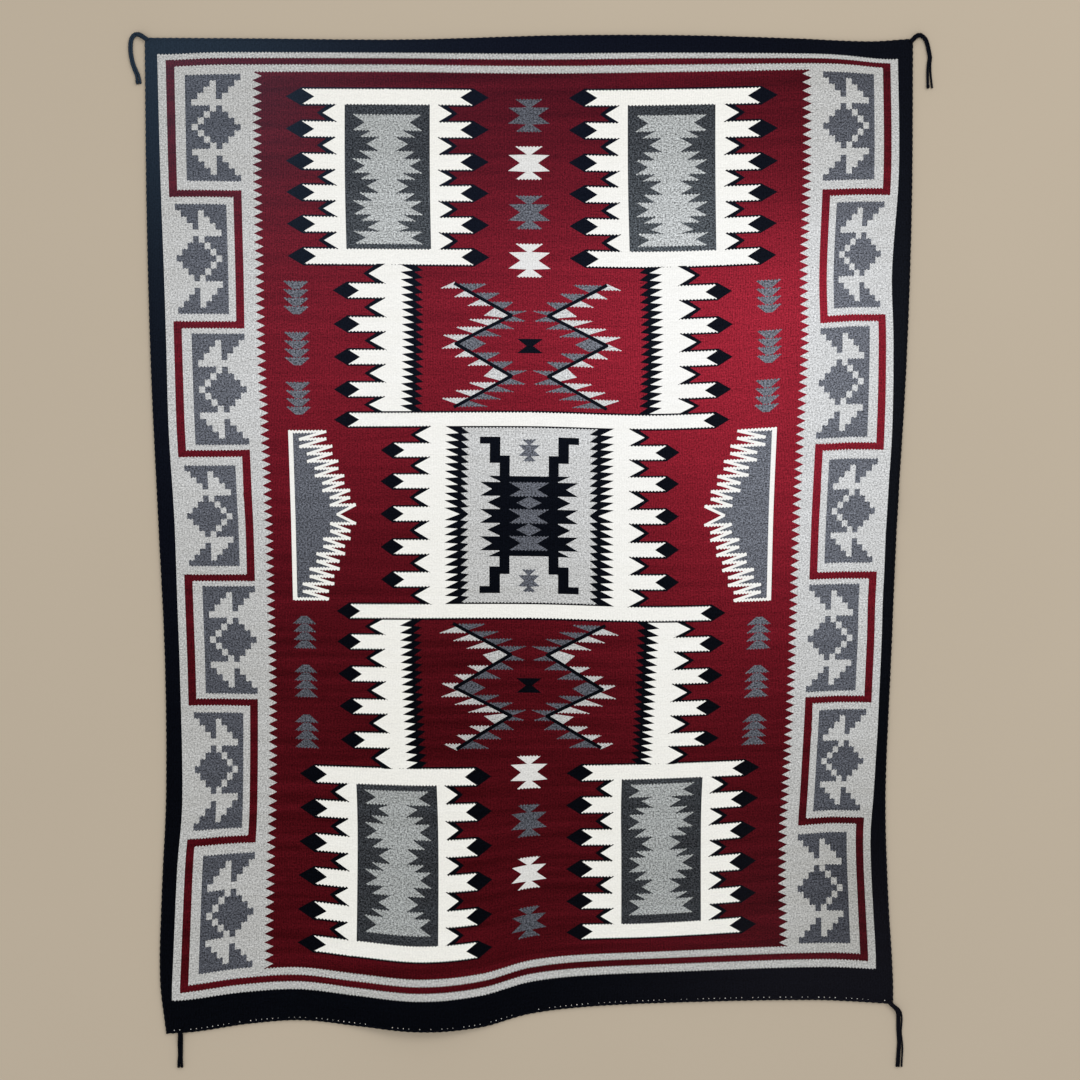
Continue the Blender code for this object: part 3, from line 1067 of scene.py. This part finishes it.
def as_plain_mesh(thing, name):
    """Swap an object's modifiers for the mesh that they make."""
    evaluated = thing.evaluated_get(bpy.context.evaluated_depsgraph_get())
    mesh = bpy.data.meshes.new_from_object(evaluated)
    mesh.name = name
    old = thing.data
    plain = bpy.data.objects.new(name, mesh)
    bpy.context.scene.collection.objects.link(plain)
    bpy.data.objects.remove(thing)
    if old.users == 0 and isinstance(old, bpy.types.Mesh):
        bpy.data.meshes.remove(old)
    return plain


def make_panel(materials):
    """The woven sheet: its design goes through, so both faces carry it."""
    sheet = bpy.data.objects.new("panel_draft", panel_mesh())
    bpy.context.scene.collection.objects.link(sheet)
    for yarn in YARNS:
        sheet.data.materials.append(materials[yarn])
    thicken = sheet.modifiers.new("Thickness", "SOLIDIFY")
    thicken.thickness = PANEL_THICKNESS
    thicken.offset = 1.0
    panel = as_plain_mesh(sheet, "woven_panel")
    panel.data.shade_smooth()
    panel.data.set_sharp_from_angle(angle=SHARP_ANGLE)
    return panel


class Nodes:
    """Short ways to add and join nodes in one tree."""

    def __init__(self, tree):
        self.tree = tree

    def add(self, kind, **settings):
        """A new node with its settings."""
        node = self.tree.nodes.new(kind)
        for name, value in settings.items():
            setattr(node, name, value)
        return node

    def join(self, source, target):
        """Join an output to an input."""
        self.tree.links.new(source, target)

    def put(self, socket, value):
        """Join a socket to another, or give it a plain value."""
        if isinstance(value, bpy.types.NodeSocket):
            self.tree.links.new(value, socket)
        else:
            socket.default_value = value

    def worked(self, kind, operation, values):
        """A node that works out one thing from its values, in the order of its inputs."""
        node = self.add(kind, operation=operation)
        for socket, value in zip(node.inputs, values):
            self.put(socket, value)
        return node

    def math(self, operation, *values):
        """A sum on numbers."""
        return self.worked("ShaderNodeMath", operation, values).outputs[0]

    def vector_math(self, operation, *values):
        """A sum on vectors, with a vector as its answer."""
        return self.worked("ShaderNodeVectorMath", operation, values).outputs[0]

    def dot(self, first, second):
        """The dot product of two vectors."""
        return self.worked("ShaderNodeVectorMath", "DOT_PRODUCT", (first, second)).outputs["Value"]

    def off_middle(self, noise):
        """A noise with its middle moved to zero."""
        return self.math("SUBTRACT", noise, MIDDLE_OF_NOISE)

    def noise(self, place, scale, detail=PLAIN_DETAIL, roughness=PLAIN_ROUGHNESS):
        """Soft random values over places, from 0 to 1."""
        node = self.add("ShaderNodeTexNoise")
        self.put(node.inputs["Vector"], place)
        node.inputs["Scale"].default_value = scale
        node.inputs["Detail"].default_value = detail
        node.inputs["Roughness"].default_value = roughness
        return node.outputs["Fac"]

    def vector(self, x, y, z):
        """A vector from its three parts."""
        node = self.add("ShaderNodeCombineXYZ")
        for socket, value in zip(node.inputs, (x, y, z)):
            self.put(socket, value)
        return node.outputs[0]

    def times(self, vector, share):
        """A vector or colour times one number."""
        return self.vector_math("MULTIPLY", vector, self.vector(share, share, share))

    def bump(self, height, distance, strength, shader):
        """Fine relief on a shader's surface."""
        node = self.add("ShaderNodeBump")
        node.inputs["Distance"].default_value = distance
        node.inputs["Strength"].default_value = strength
        self.join(height, node.inputs["Height"])
        self.join(node.outputs["Normal"], shader.inputs["Normal"])


def shader_group(name, outputs):
    """An empty group of shader nodes with its named outputs."""
    tree = bpy.data.node_groups.new(name, "ShaderNodeTree")
    for title, kind in outputs:
        tree.interface.new_socket(title, in_out="OUTPUT", socket_type=kind)
    return tree


def drawn_out(nodes, across, along, marks_across, marks_along):
    """Places for a noise that is drawn out one way."""
    x = nodes.math("MULTIPLY", across, marks_across)
    y = nodes.math("MULTIPLY", along, marks_along)
    return nodes.vector(x, y, 0.0)


def weave_group():
    """Ribs over the warps, beads of weft on them, and uneven yarn, all from the weave map in metres."""
    names = ("Height", "Groove", "Band", "Fleck", "Streak")
    tree = shader_group("woven_relief", [(name, "NodeSocketFloat") for name in names])
    nodes = Nodes(tree)
    place = nodes.add("ShaderNodeUVMap", uv_map="weave").outputs[0]
    split = nodes.add("ShaderNodeSeparateXYZ")
    nodes.join(place, split.inputs[0])
    across, along = split.outputs[:2]
    sway = nodes.noise(place, SWAY_MARKS)
    warps = nodes.math("DIVIDE", nodes.math("MULTIPLY_ADD", sway, WARP_SWAY, across), WARP_PITCH)
    rib = nodes.math("ABSOLUTE", nodes.math("SINE", nodes.math("MULTIPLY", warps, math.pi)))
    odd = nodes.math("MULTIPLY", nodes.math("FLOOR", nodes.math("MODULO", warps, 2.0)), ODD_WARP_SHIFT)
    rows = nodes.math("ADD", nodes.math("DIVIDE", along, BEAD_PITCH), odd)
    bead = nodes.math("ABSOLUTE", nodes.math("SINE", nodes.math("MULTIPLY", rows, math.pi)))
    fuzz = nodes.noise(place, FIBRE_MARKS)
    height = nodes.math("MULTIPLY_ADD", bead, BEAD_HEIGHT, nodes.math("POWER", rib, RIB_ROUNDNESS))
    height = nodes.math("MULTIPLY_ADD", fuzz, FUZZ_HEIGHT, height)
    band = nodes.noise(drawn_out(nodes, across, along, *BAND_MARKS), 1.0, FINE_DETAIL)
    grain = nodes.vector(across, nodes.math("MULTIPLY", along, FLECK_STRETCH), 0.0)
    fleck = nodes.noise(grain, FLECK_MARKS, roughness=FLECK_ROUGHNESS)
    streak = nodes.noise(drawn_out(nodes, across, along, *STREAK_MARKS), 1.0)
    output = nodes.add("NodeGroupOutput")
    for name, value in zip(names, (height, rib, band, fleck, streak)):
        nodes.join(value, output.inputs[name])
    return tree


def patch(nodes, place, middle_x, middle_y, half_width, half_length):
    """A soft round patch on the rug: one in its middle, and less and less away from it."""
    apart = nodes.vector_math("SUBTRACT", place, (middle_x, middle_y, 0.0))
    apart = nodes.vector_math("MULTIPLY", apart, (1 / half_width, 1 / half_length, 0.0))
    return nodes.math("EXPONENT", nodes.math("MULTIPLY", nodes.dot(apart, apart), -0.5))


def shade_group():
    """Painted light and shade over the rug, as a share that brightens the wool, and a painted bluish sheen,
    by place.
    """
    tree = shader_group("painted_light_and_sheen", [("Painted light", "NodeSocketFloat"), ("Painted sheen", "NodeSocketVector")])
    nodes = Nodes(tree)
    place = nodes.add("ShaderNodeTexCoord").outputs["Object"]
    # Painted light: soft patches that brighten the wool where the light is painted stronger
    painted_light = LEAST_PAINTED_LIGHT
    for *where, strength in PAINTED_LIGHT_PLACES:
        painted_light = nodes.math("MULTIPLY_ADD", patch(nodes, place, *where), strength, painted_light)
    # Painted sheen: a bluish reflection of light, added to the colour
    painted_sheen = (0.0, 0.0, 0.0)
    for *where, colour in PAINTED_SHEEN_PLACES:
        share = patch(nodes, place, *where)
        here = nodes.vector_math("MULTIPLY", nodes.vector(share, share, share), colour)
        painted_sheen = nodes.vector_math("ADD", here, painted_sheen)
    output = nodes.add("NodeGroupOutput")
    nodes.join(painted_light, output.inputs["Painted light"])
    nodes.join(painted_sheen, output.inputs["Painted sheen"])
    return tree


def colour_from(picture_colour):
    """A picture colour, 0 to 255, as the linear colour that Blender takes, by the usual curve of pictures."""
    linear = []
    for part in picture_colour:
        share = part / BRIGHTEST
        if share <= STRAIGHT_END:
            linear.append(share / STRAIGHT_SLOPE)
        else:
            linear.append(((share + CURVE_OFFSET) / (1 + CURVE_OFFSET)) ** CURVE_POWER)
    return (*linear, 1.0)


def new_material(name):
    """A matt material, a short way to add nodes to it, and its main shader."""
    material = bpy.data.materials.new(name)
    material.use_nodes = True
    shader = material.node_tree.nodes["Principled BSDF"]
    shader.inputs["Roughness"].default_value = WOOL_ROUGHNESS
    shader.inputs["Specular IOR Level"].default_value = WOOL_SHINE
    return material, Nodes(material.node_tree), shader


def mixed(nodes, share, colours):
    """A blend of two picture colours."""
    mix = nodes.add("ShaderNodeMix", data_type="RGBA")
    nodes.put(mix.inputs["Factor"], share)
    nodes.put(mix.inputs["A"], colour_from(colours[0]))
    nodes.put(mix.inputs["B"], colour_from(colours[1]))
    return mix.outputs["Result"]


def ramp(nodes, value, low, high):
    """A value stretched so that low becomes 0 and high becomes 1."""
    node = nodes.add("ShaderNodeMapRange", interpolation_type="SMOOTHSTEP")
    nodes.put(node.inputs["Value"], value)
    node.inputs["From Min"].default_value = low
    node.inputs["From Max"].default_value = high
    return node.outputs["Result"]


def yarn_material(name, weave, shade, deep, bright_and_lit, painted_light_power, heather, streaks, groove_shade, relief, sheen_share):
    """Woven wool: dye from deep to bright by random bands and painted light, heathered grain, painted groove
    shade and painted sheen.
    """
    material, nodes, shader = new_material(name)
    cloth = nodes.add("ShaderNodeGroup", node_tree=weave).outputs
    painted_lighting = nodes.add("ShaderNodeGroup", node_tree=shade).outputs
    # Painted light: how far each place is lifted from the deep colour towards the bright one
    share = nodes.math("POWER", painted_lighting["Painted light"], painted_light_power)
    share = nodes.math("MULTIPLY_ADD", nodes.off_middle(cloth["Band"]), BAND_STRENGTH, share)
    dyed = mixed(nodes, share, (deep, bright_and_lit))
    fleck = nodes.off_middle(cloth["Fleck"])
    grain = nodes.math("MULTIPLY_ADD", fleck, heather, 1.0)
    drawn = nodes.math("MULTIPLY_ADD", nodes.off_middle(cloth["Streak"]), streaks, grain)
    # Painted shade: the colour darkened in the grooves between the warp ribs
    dark = nodes.math("MULTIPLY_ADD", nodes.math("SUBTRACT", 1.0, cloth["Groove"]), -groove_shade, drawn)
    shaded = nodes.times(dyed, nodes.math("MAXIMUM", dark, DARKEST_YARN))
    # Painted sheen added over the colour, broken up by the grain
    sheen_strength = nodes.math("MULTIPLY_ADD", fleck, SHEEN_GRAIN * sheen_share, sheen_share)
    painted_sheen = nodes.times(painted_lighting["Painted sheen"], sheen_strength)
    nodes.join(nodes.vector_math("ADD", shaded, painted_sheen), shader.inputs["Base Color"])
    nodes.bump(cloth["Height"], WEAVE_RELIEF, relief, shader)
    return material


def yarn_materials(shade):
    """One material for each colour of yarn."""
    weave = weave_group()
    return {yarn: yarn_material(f"{yarn}_yarn", weave, shade, *rest) for yarn, *rest in YARN_LOOKS}


def cord_material(name, colours, shade, sheen_share):
    """Twisted wool with fine fibres and a little painted sheen, from places in the rug's own frame."""
    material, nodes, shader = new_material(name)
    place = nodes.add("ShaderNodeTexCoord").outputs["Object"]
    fibres = nodes.noise(place, FIBRE_MARKS, FINE_DETAIL)
    spun = mixed(nodes, ramp(nodes, fibres, FIBRE_LOW, FIBRE_HIGH), colours)
    # Painted sheen, the same as on the woven sheet
    painted_lighting = nodes.add("ShaderNodeGroup", node_tree=shade).outputs
    painted_sheen = nodes.vector_math("MULTIPLY", painted_lighting["Painted sheen"], (sheen_share, sheen_share, sheen_share))
    nodes.join(nodes.vector_math("ADD", spun, painted_sheen), shader.inputs["Base Color"])
    nodes.bump(fibres, FIBRE_RELIEF, 1.0, shader)
    return material


def curve_tree(name, inputs):
    """An empty tree of geometry nodes from a curve to a mesh, with named inputs for its sizes."""
    tree = bpy.data.node_groups.new(name, "GeometryNodeTree")
    tree.interface.new_socket("Geometry", in_out="INPUT", socket_type="NodeSocketGeometry")
    for title, kind in inputs:
        tree.interface.new_socket(title, in_out="INPUT", socket_type=f"NodeSocket{kind}")
    tree.interface.new_socket("Geometry", in_out="OUTPUT", socket_type="NodeSocketGeometry")
    return tree


def end_tree(nodes, shape, material):
    """The end of a tree: the shape's instances become real, and it takes its material."""
    real = nodes.add("GeometryNodeRealizeInstances")
    nodes.join(shape, real.inputs["Geometry"])
    coloured = nodes.add("GeometryNodeSetMaterial")
    coloured.inputs["Material"].default_value = material
    nodes.join(real.outputs[0], coloured.inputs["Geometry"])
    nodes.join(coloured.outputs[0], nodes.add("NodeGroupOutput").inputs["Geometry"])


def even_line(nodes, source, step):
    """The tree's curve with its points at even steps."""
    even = nodes.add("GeometryNodeResampleCurve", mode="LENGTH")
    nodes.join(source["Geometry"], even.inputs["Curve"])
    nodes.join(step, even.inputs["Length"])
    return even.outputs[0]


def wound_plies(nodes, source, line):
    """Copies of a line, one for each ply, wound round it."""
    copies = nodes.add("GeometryNodeDuplicateElements", domain="SPLINE")
    nodes.join(line, copies.inputs["Geometry"])
    nodes.join(source["Plies"], copies.inputs["Amount"])
    length = nodes.add("GeometryNodeSplineParameter").outputs["Length"]
    turns = nodes.math("DIVIDE", length, source["Turn"])
    phase = nodes.math("DIVIDE", copies.outputs["Duplicate Index"], source["Plies"])
    angle = nodes.math("MULTIPLY", nodes.math("ADD", turns, phase), 2 * math.pi)
    tangent = nodes.add("GeometryNodeInputTangent").outputs[0]
    side = nodes.vector_math("NORMALIZE", nodes.vector_math("CROSS_PRODUCT", tangent, (0.0, 0.0, 1.0)))
    up = nodes.vector_math("CROSS_PRODUCT", side, tangent)
    sideways = nodes.times(side, nodes.math("MULTIPLY", nodes.math("COSINE", angle), source["Reach"]))
    upward = nodes.times(up, nodes.math("MULTIPLY", nodes.math("SINE", angle), source["Reach"]))
    wound = nodes.add("GeometryNodeSetPosition")
    nodes.join(copies.outputs["Geometry"], wound.inputs["Geometry"])
    nodes.join(nodes.vector_math("ADD", sideways, upward), wound.inputs["Offset"])
    return wound.outputs[0]


def twist_tree(material):
    """Plies wound round a middle line: the input is a curve and the output a closed mesh."""
    tree = curve_tree("twisted_plies", [
        ("Turn", "Float"),
        ("Reach", "Float"),
        ("Ply radius", "Float"),
        ("Core radius", "Float"),
        ("Plies", "Int"),
    ])
    nodes = Nodes(tree)
    source = nodes.add("NodeGroupInput").outputs
    core = even_line(nodes, source, nodes.math("DIVIDE", source["Turn"], float(TURN_POINTS)))
    plies = wound_plies(nodes, source, core)
    whole = nodes.add("GeometryNodeJoinGeometry")
    for middle_line, radius in ((plies, source["Ply radius"]), (core, source["Core radius"])):
        ring = nodes.add("GeometryNodeCurvePrimitiveCircle", mode="RADIUS")
        ring.inputs["Resolution"].default_value = PLY_SIDES
        nodes.join(radius, ring.inputs["Radius"])
        round_line = nodes.add("GeometryNodeCurveToMesh")
        round_line.inputs["Fill Caps"].default_value = True
        nodes.join(middle_line, round_line.inputs["Curve"])
        nodes.join(ring.outputs[0], round_line.inputs["Profile Curve"])
        nodes.join(round_line.outputs[0], whole.inputs["Geometry"])
    smooth = nodes.add("GeometryNodeSetShadeSmooth")
    nodes.join(whole.outputs[0], smooth.inputs["Geometry"])
    end_tree(nodes, smooth.outputs[0], material)
    return tree


def line_object(name, line):
    """A curve object with one plain run through the points."""
    curve = bpy.data.curves.new(name, "CURVE")
    curve.dimensions = "3D"
    run = curve.splines.new("POLY")
    run.points.add(len(line) - 1)
    for spot, point in zip(run.points, line):
        spot.co = (*point, 1.0)
    thing = bpy.data.objects.new(name, curve)
    bpy.context.scene.collection.objects.link(thing)
    return thing


def grown(draft, name, tree, sizes):
    """The plain mesh that a tree makes along a drafted line, at the sizes given."""
    growth = draft.modifiers.new(name, "NODES")
    growth.node_group = tree
    for item in tree.interface.items_tree:
        if item.in_out == "INPUT" and item.name in sizes:
            growth[item.identifier] = sizes[item.name]
    return as_plain_mesh(draft, name)


def twisted(name, line, tree, turn, outer_radius, ply_radius, core_radius, plies=2):
    """A plain mesh of plies wound round a line, over a core."""
    return grown(line_object(f"{name}_line", line), name, tree, {
        "Turn": turn,
        "Reach": outer_radius - ply_radius,
        "Ply radius": ply_radius,
        "Core radius": core_radius,
        "Plies": plies,
    })


def unit(way):
    """The same direction, one metre long."""
    return way / np.linalg.norm(way)


def beside_edge(edge, outward, overrun):
    """Middle line of a cord that lies just outside a run of edge points, and a little past its ends."""
    before = np.vstack([edge[:1], edge[:-1]])
    after = np.vstack([edge[1:], edge[-1:]])
    run = after - before
    side = np.stack([run[:, 1], -run[:, 0], np.zeros(len(run))], axis=1)
    side /= np.linalg.norm(side, axis=1)[:, None]
    side *= np.sign(side @ np.array(outward))[:, None]
    line = edge + side * (EDGE_CORD_RADIUS + MEETING_GAP) + np.array([0.0, 0.0, EDGE_CORD_RADIUS])
    first = line[:1] + unit(line[:1] - line[1:2]) * overrun
    last = line[-1:] + unit(line[-1:] - line[-2:-1]) * overrun
    return np.vstack([first, line, last])


def make_edge_cords(tree):
    """Two selvedge cords along the sides and two end cords across the ends."""
    cords = [
        ("selvedge_cord_left", "left", EDGE_STEPS_ALONG, (-1.0, 0.0, 0.0), 0.0, "selvedge_wool"),
        ("selvedge_cord_right", "right", EDGE_STEPS_ALONG, (1.0, 0.0, 0.0), 0.0, "selvedge_wool"),
        ("end_cord_bottom", "bottom", EDGE_STEPS_ACROSS, (0.0, -1.0, 0.0), END_CORD_OVERRUN, "end_cord_wool"),
        ("end_cord_top", "top", EDGE_STEPS_ACROSS, (0.0, 1.0, 0.0), END_CORD_OVERRUN, "end_cord_wool"),
    ]
    sizes = (EDGE_CORD_TURN, EDGE_CORD_RADIUS, EDGE_PLY_RADIUS, EDGE_CORE_RADIUS)
    for node, side, steps, outward, overrun, slot in cords:
        line = beside_edge(edge_run(side, steps), outward, overrun)
        cord = twisted(f"{node}_plies", line, tree, *sizes)
        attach(cord, "root")
        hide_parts(node)


def warp_loop_tree(material):
    """White warps that show in a broken row along a line: from a curve to a closed mesh."""
    tree = curve_tree("warp_loops", [
        ("Pitch", "Float"),
        ("Share shown", "Float"),
        ("Least", "Float"),
        ("Largest", "Float"),
        ("Radius", "Float"),
        ("Seed", "Int"),
    ])
    nodes = Nodes(tree)
    source = nodes.add("NodeGroupInput").outputs
    shown = nodes.add("FunctionNodeRandomValue", data_type="BOOLEAN")
    nodes.join(source["Share shown"], shown.inputs["Probability"])
    size = nodes.add("FunctionNodeRandomValue", data_type="FLOAT")
    nodes.join(source["Least"], size.inputs["Min"])
    nodes.join(source["Largest"], size.inputs["Max"])
    for draw in (shown, size):
        nodes.join(source["Seed"], draw.inputs["Seed"])
    bead = nodes.add("GeometryNodeMeshUVSphere")
    bead.inputs["Segments"].default_value = WARP_LOOP_SIDES
    bead.inputs["Rings"].default_value = WARP_LOOP_RINGS
    nodes.join(source["Radius"], bead.inputs["Radius"])
    placed = nodes.add("GeometryNodeInstanceOnPoints")
    nodes.join(even_line(nodes, source, source["Pitch"]), placed.inputs["Points"])
    nodes.join(shown.outputs["Value"], placed.inputs["Selection"])
    nodes.join(bead.outputs["Mesh"], placed.inputs["Instance"])
    nodes.join(size.outputs["Value"], placed.inputs["Scale"])
    end_tree(nodes, placed.outputs[0], material)
    return tree


def make_warp_loops(material):
    """White warps peeping out along the bottom edge, between the weave and its end cord."""
    edge = edge_run("bottom", EDGE_STEPS_ACROSS)
    draft = line_object("warp_loop_line", edge + np.array([0.0, 0.0, PANEL_THICKNESS]))
    least, largest = WARP_LOOP_SIZES
    loops = grown(draft, "warp_loops", warp_loop_tree(material), {
        "Pitch": WARP_LOOP_PITCH,
        "Share shown": WARP_LOOPS_SHOWN,
        "Least": least,
        "Largest": largest,
        "Radius": WARP_LOOP_RADIUS,
        "Seed": WARP_LOOP_SEED,
    })
    loops.data.shade_smooth()
    return loops


def smooth_line(bends, count):
    """Evenly stepped points on a soft curve through the bends, in the plane of the floor."""
    points = [Vector(bend) for bend in bends]
    padded = [points[0] * 2 - points[1], *points, points[-1] * 2 - points[-2]]
    line = []
    for i in range(count):
        place = i / (count - 1) * (len(points) - 1)
        step = min(int(place), len(points) - 2)
        share = place - step
        before, here, there, after = padded[step:step + 4]
        line.append(0.5 * (
            here * 2
            + (there - before) * share
            + (before * 2 - here * 5 + there * 4 - after) * share ** 2
            + (here * 3 - before - there * 3 + after) * share ** 3
        ))
    return line


def strand_line(middle, radius, asides):
    """Middle line of one strand, gathered at the root and standing off the tassel's line by the asides."""
    share = np.linspace(0.0, 1.0, STRAND_POINTS)
    aside = smooth_read(STRAND_PLACES, np.array(asides), share)
    line = []
    for i, point in enumerate(middle):
        run = middle[min(i + 1, STRAND_POINTS - 1)] - middle[max(i - 1, 0)]
        side = Vector((-run.y, run.x)).normalized()
        spot = point + side * aside[i]
        line.append((spot.x, spot.y, radius))
    return line


def root_line(middle, radius):
    """Line of the wrapped head, from a little inside the rug's corner out to the strands."""
    inward = (middle[0] - middle[1]).normalized() * ROOT_REACH
    return [(spot.x, spot.y, radius) for spot in [middle[0] + inward, *middle[:HEAD_WRAP_POINTS]]]


def wrapping(name, line, tree, outer_radius, core_radius):
    """One yarn wound tightly round a line, as on a tassel's head or a knot."""
    return twisted(name, line, tree, WRAP_TURN, outer_radius, WRAP_PLY_RADIUS, core_radius, 1)


def knot_line(line):
    """Line of the small knot near the end of a strand."""
    end = Vector((line[-1][0], line[-1][1], KNOT_RADIUS))
    before = Vector((line[-2][0], line[-2][1], KNOT_RADIUS))
    back = (before - end).normalized()
    return [end + back * KNOT_START, end + back * (KNOT_START + KNOT_LENGTH)]


def joined(name, things, material):
    """One object with the meshes of several, all of one material."""
    whole = bmesh.new()
    for thing in things:
        whole.from_mesh(thing.data)
    for face in whole.faces:
        face.material_index = 0
    mesh = bpy.data.meshes.new(name)
    whole.to_mesh(mesh)
    whole.free()
    mesh.materials.append(material)
    for thing in things:
        bpy.data.objects.remove(thing)
    one = bpy.data.objects.new(name, mesh)
    bpy.context.scene.collection.objects.link(one)
    return one


def make_tassel(node, root, bends, head_radius, tree, wool):
    """One tassel: loose twisted strands, a wrapped head and a knot at the end of some strands."""
    middle = smooth_line([root, *bends], STRAND_POINTS)
    head = root_line(middle, head_radius)
    parts = [wrapping(f"{node}_wrap", head, tree, head_radius, head_radius - WRAP_PLY_RADIUS)]
    for owner, radius, knotted, asides in STRANDS:
        if owner != node:
            continue
        line = strand_line(middle, radius, asides)
        ply = radius * STRAND_PLY_SHARE
        core = radius * STRAND_CORE_SHARE
        parts.append(twisted(f"{node}_strand", line, tree, STRAND_TURN, radius, ply, core))
        if knotted:
            parts.append(wrapping(f"{node}_knot", knot_line(line), tree, KNOT_RADIUS, radius))
    return joined(f"{node}_yarns", parts, wool)


def make_tassels(tree, wool):
    """The four corner tassels."""
    for node, root, bends, head_radius in TASSELS:
        tassel = make_tassel(node, root, bends, head_radius, tree, wool)
        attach(tassel, "root")
        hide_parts(node)


def make_floor():
    """A plain pale floor."""
    mesh = bpy.data.meshes.new("floor")
    half = FLOOR_HALF_WIDTH
    corners = [(-half, -half, 0.0), (half, -half, 0.0), (half, half, 0.0), (-half, half, 0.0)]
    mesh.from_pydata(corners, [], [(0, 1, 2, 3)])
    floor = bpy.data.objects.new("floor", mesh)
    bpy.context.scene.collection.objects.link(floor)
    material, nodes, shader = new_material("pale_floor")
    place = nodes.add("ShaderNodeTexCoord").outputs["Object"]
    nodes.join(mixed(nodes, nodes.noise(place, FLOOR_CLOUDS), FLOOR_COLOURS), shader.inputs["Base Color"])
    mesh.materials.append(material)


def make_light(name, place, size, power):
    """A soft square lamp that faces the middle of the rug."""
    lamp = bpy.data.lights.new(name, "AREA")
    lamp.size = size
    lamp.energy = power
    thing = bpy.data.objects.new(name, lamp)
    thing.location = place
    thing.rotation_euler = (-Vector(place)).to_track_quat("-Z", "Y").to_euler()
    bpy.context.scene.collection.objects.link(thing)


def light_scene():
    """Even studio light, a little stronger from the upper right."""
    world = bpy.data.worlds.new("studio")
    world.use_nodes = True
    sky = world.node_tree.nodes["Background"].inputs
    sky["Color"].default_value = (1.0, 1.0, 1.0, 1.0)
    sky["Strength"].default_value = SKY_STRENGTH
    bpy.context.scene.world = world
    for lamp in LAMPS:
        make_light(*lamp)
    bpy.context.scene.view_settings.view_transform = "Standard"


def make_camera():
    """Straight above the rug, with its top edge at the top of the picture."""
    camera = bpy.data.cameras.new("camera")
    camera.sensor_width = SENSOR_WIDTH
    camera.lens = SENSOR_WIDTH * CAMERA_HEIGHT / VIEW_WIDTH
    thing = bpy.data.objects.new("camera", camera)
    thing.location = (*VIEW_MIDDLE, CAMERA_HEIGHT)
    bpy.context.scene.collection.objects.link(thing)
    bpy.context.scene.camera = thing


def main():
    """Build the rug, its cords and tassels, and the studio."""
    make_camera()
    light_scene()
    make_floor()
    shade = shade_group()
    panel = make_panel(yarn_materials(shade))
    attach(panel, "root")
    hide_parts("rug_panel")
    loops = make_warp_loops(cord_material("undyed_warp", UNDYED_WARP, shade, 0.0))
    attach(loops, "root")
    wool = cord_material("black_cord_wool", BLACK_WOOL, shade, 1.0)
    tree = twist_tree(wool)
    make_edge_cords(tree)
    make_tassels(tree, wool)


main()
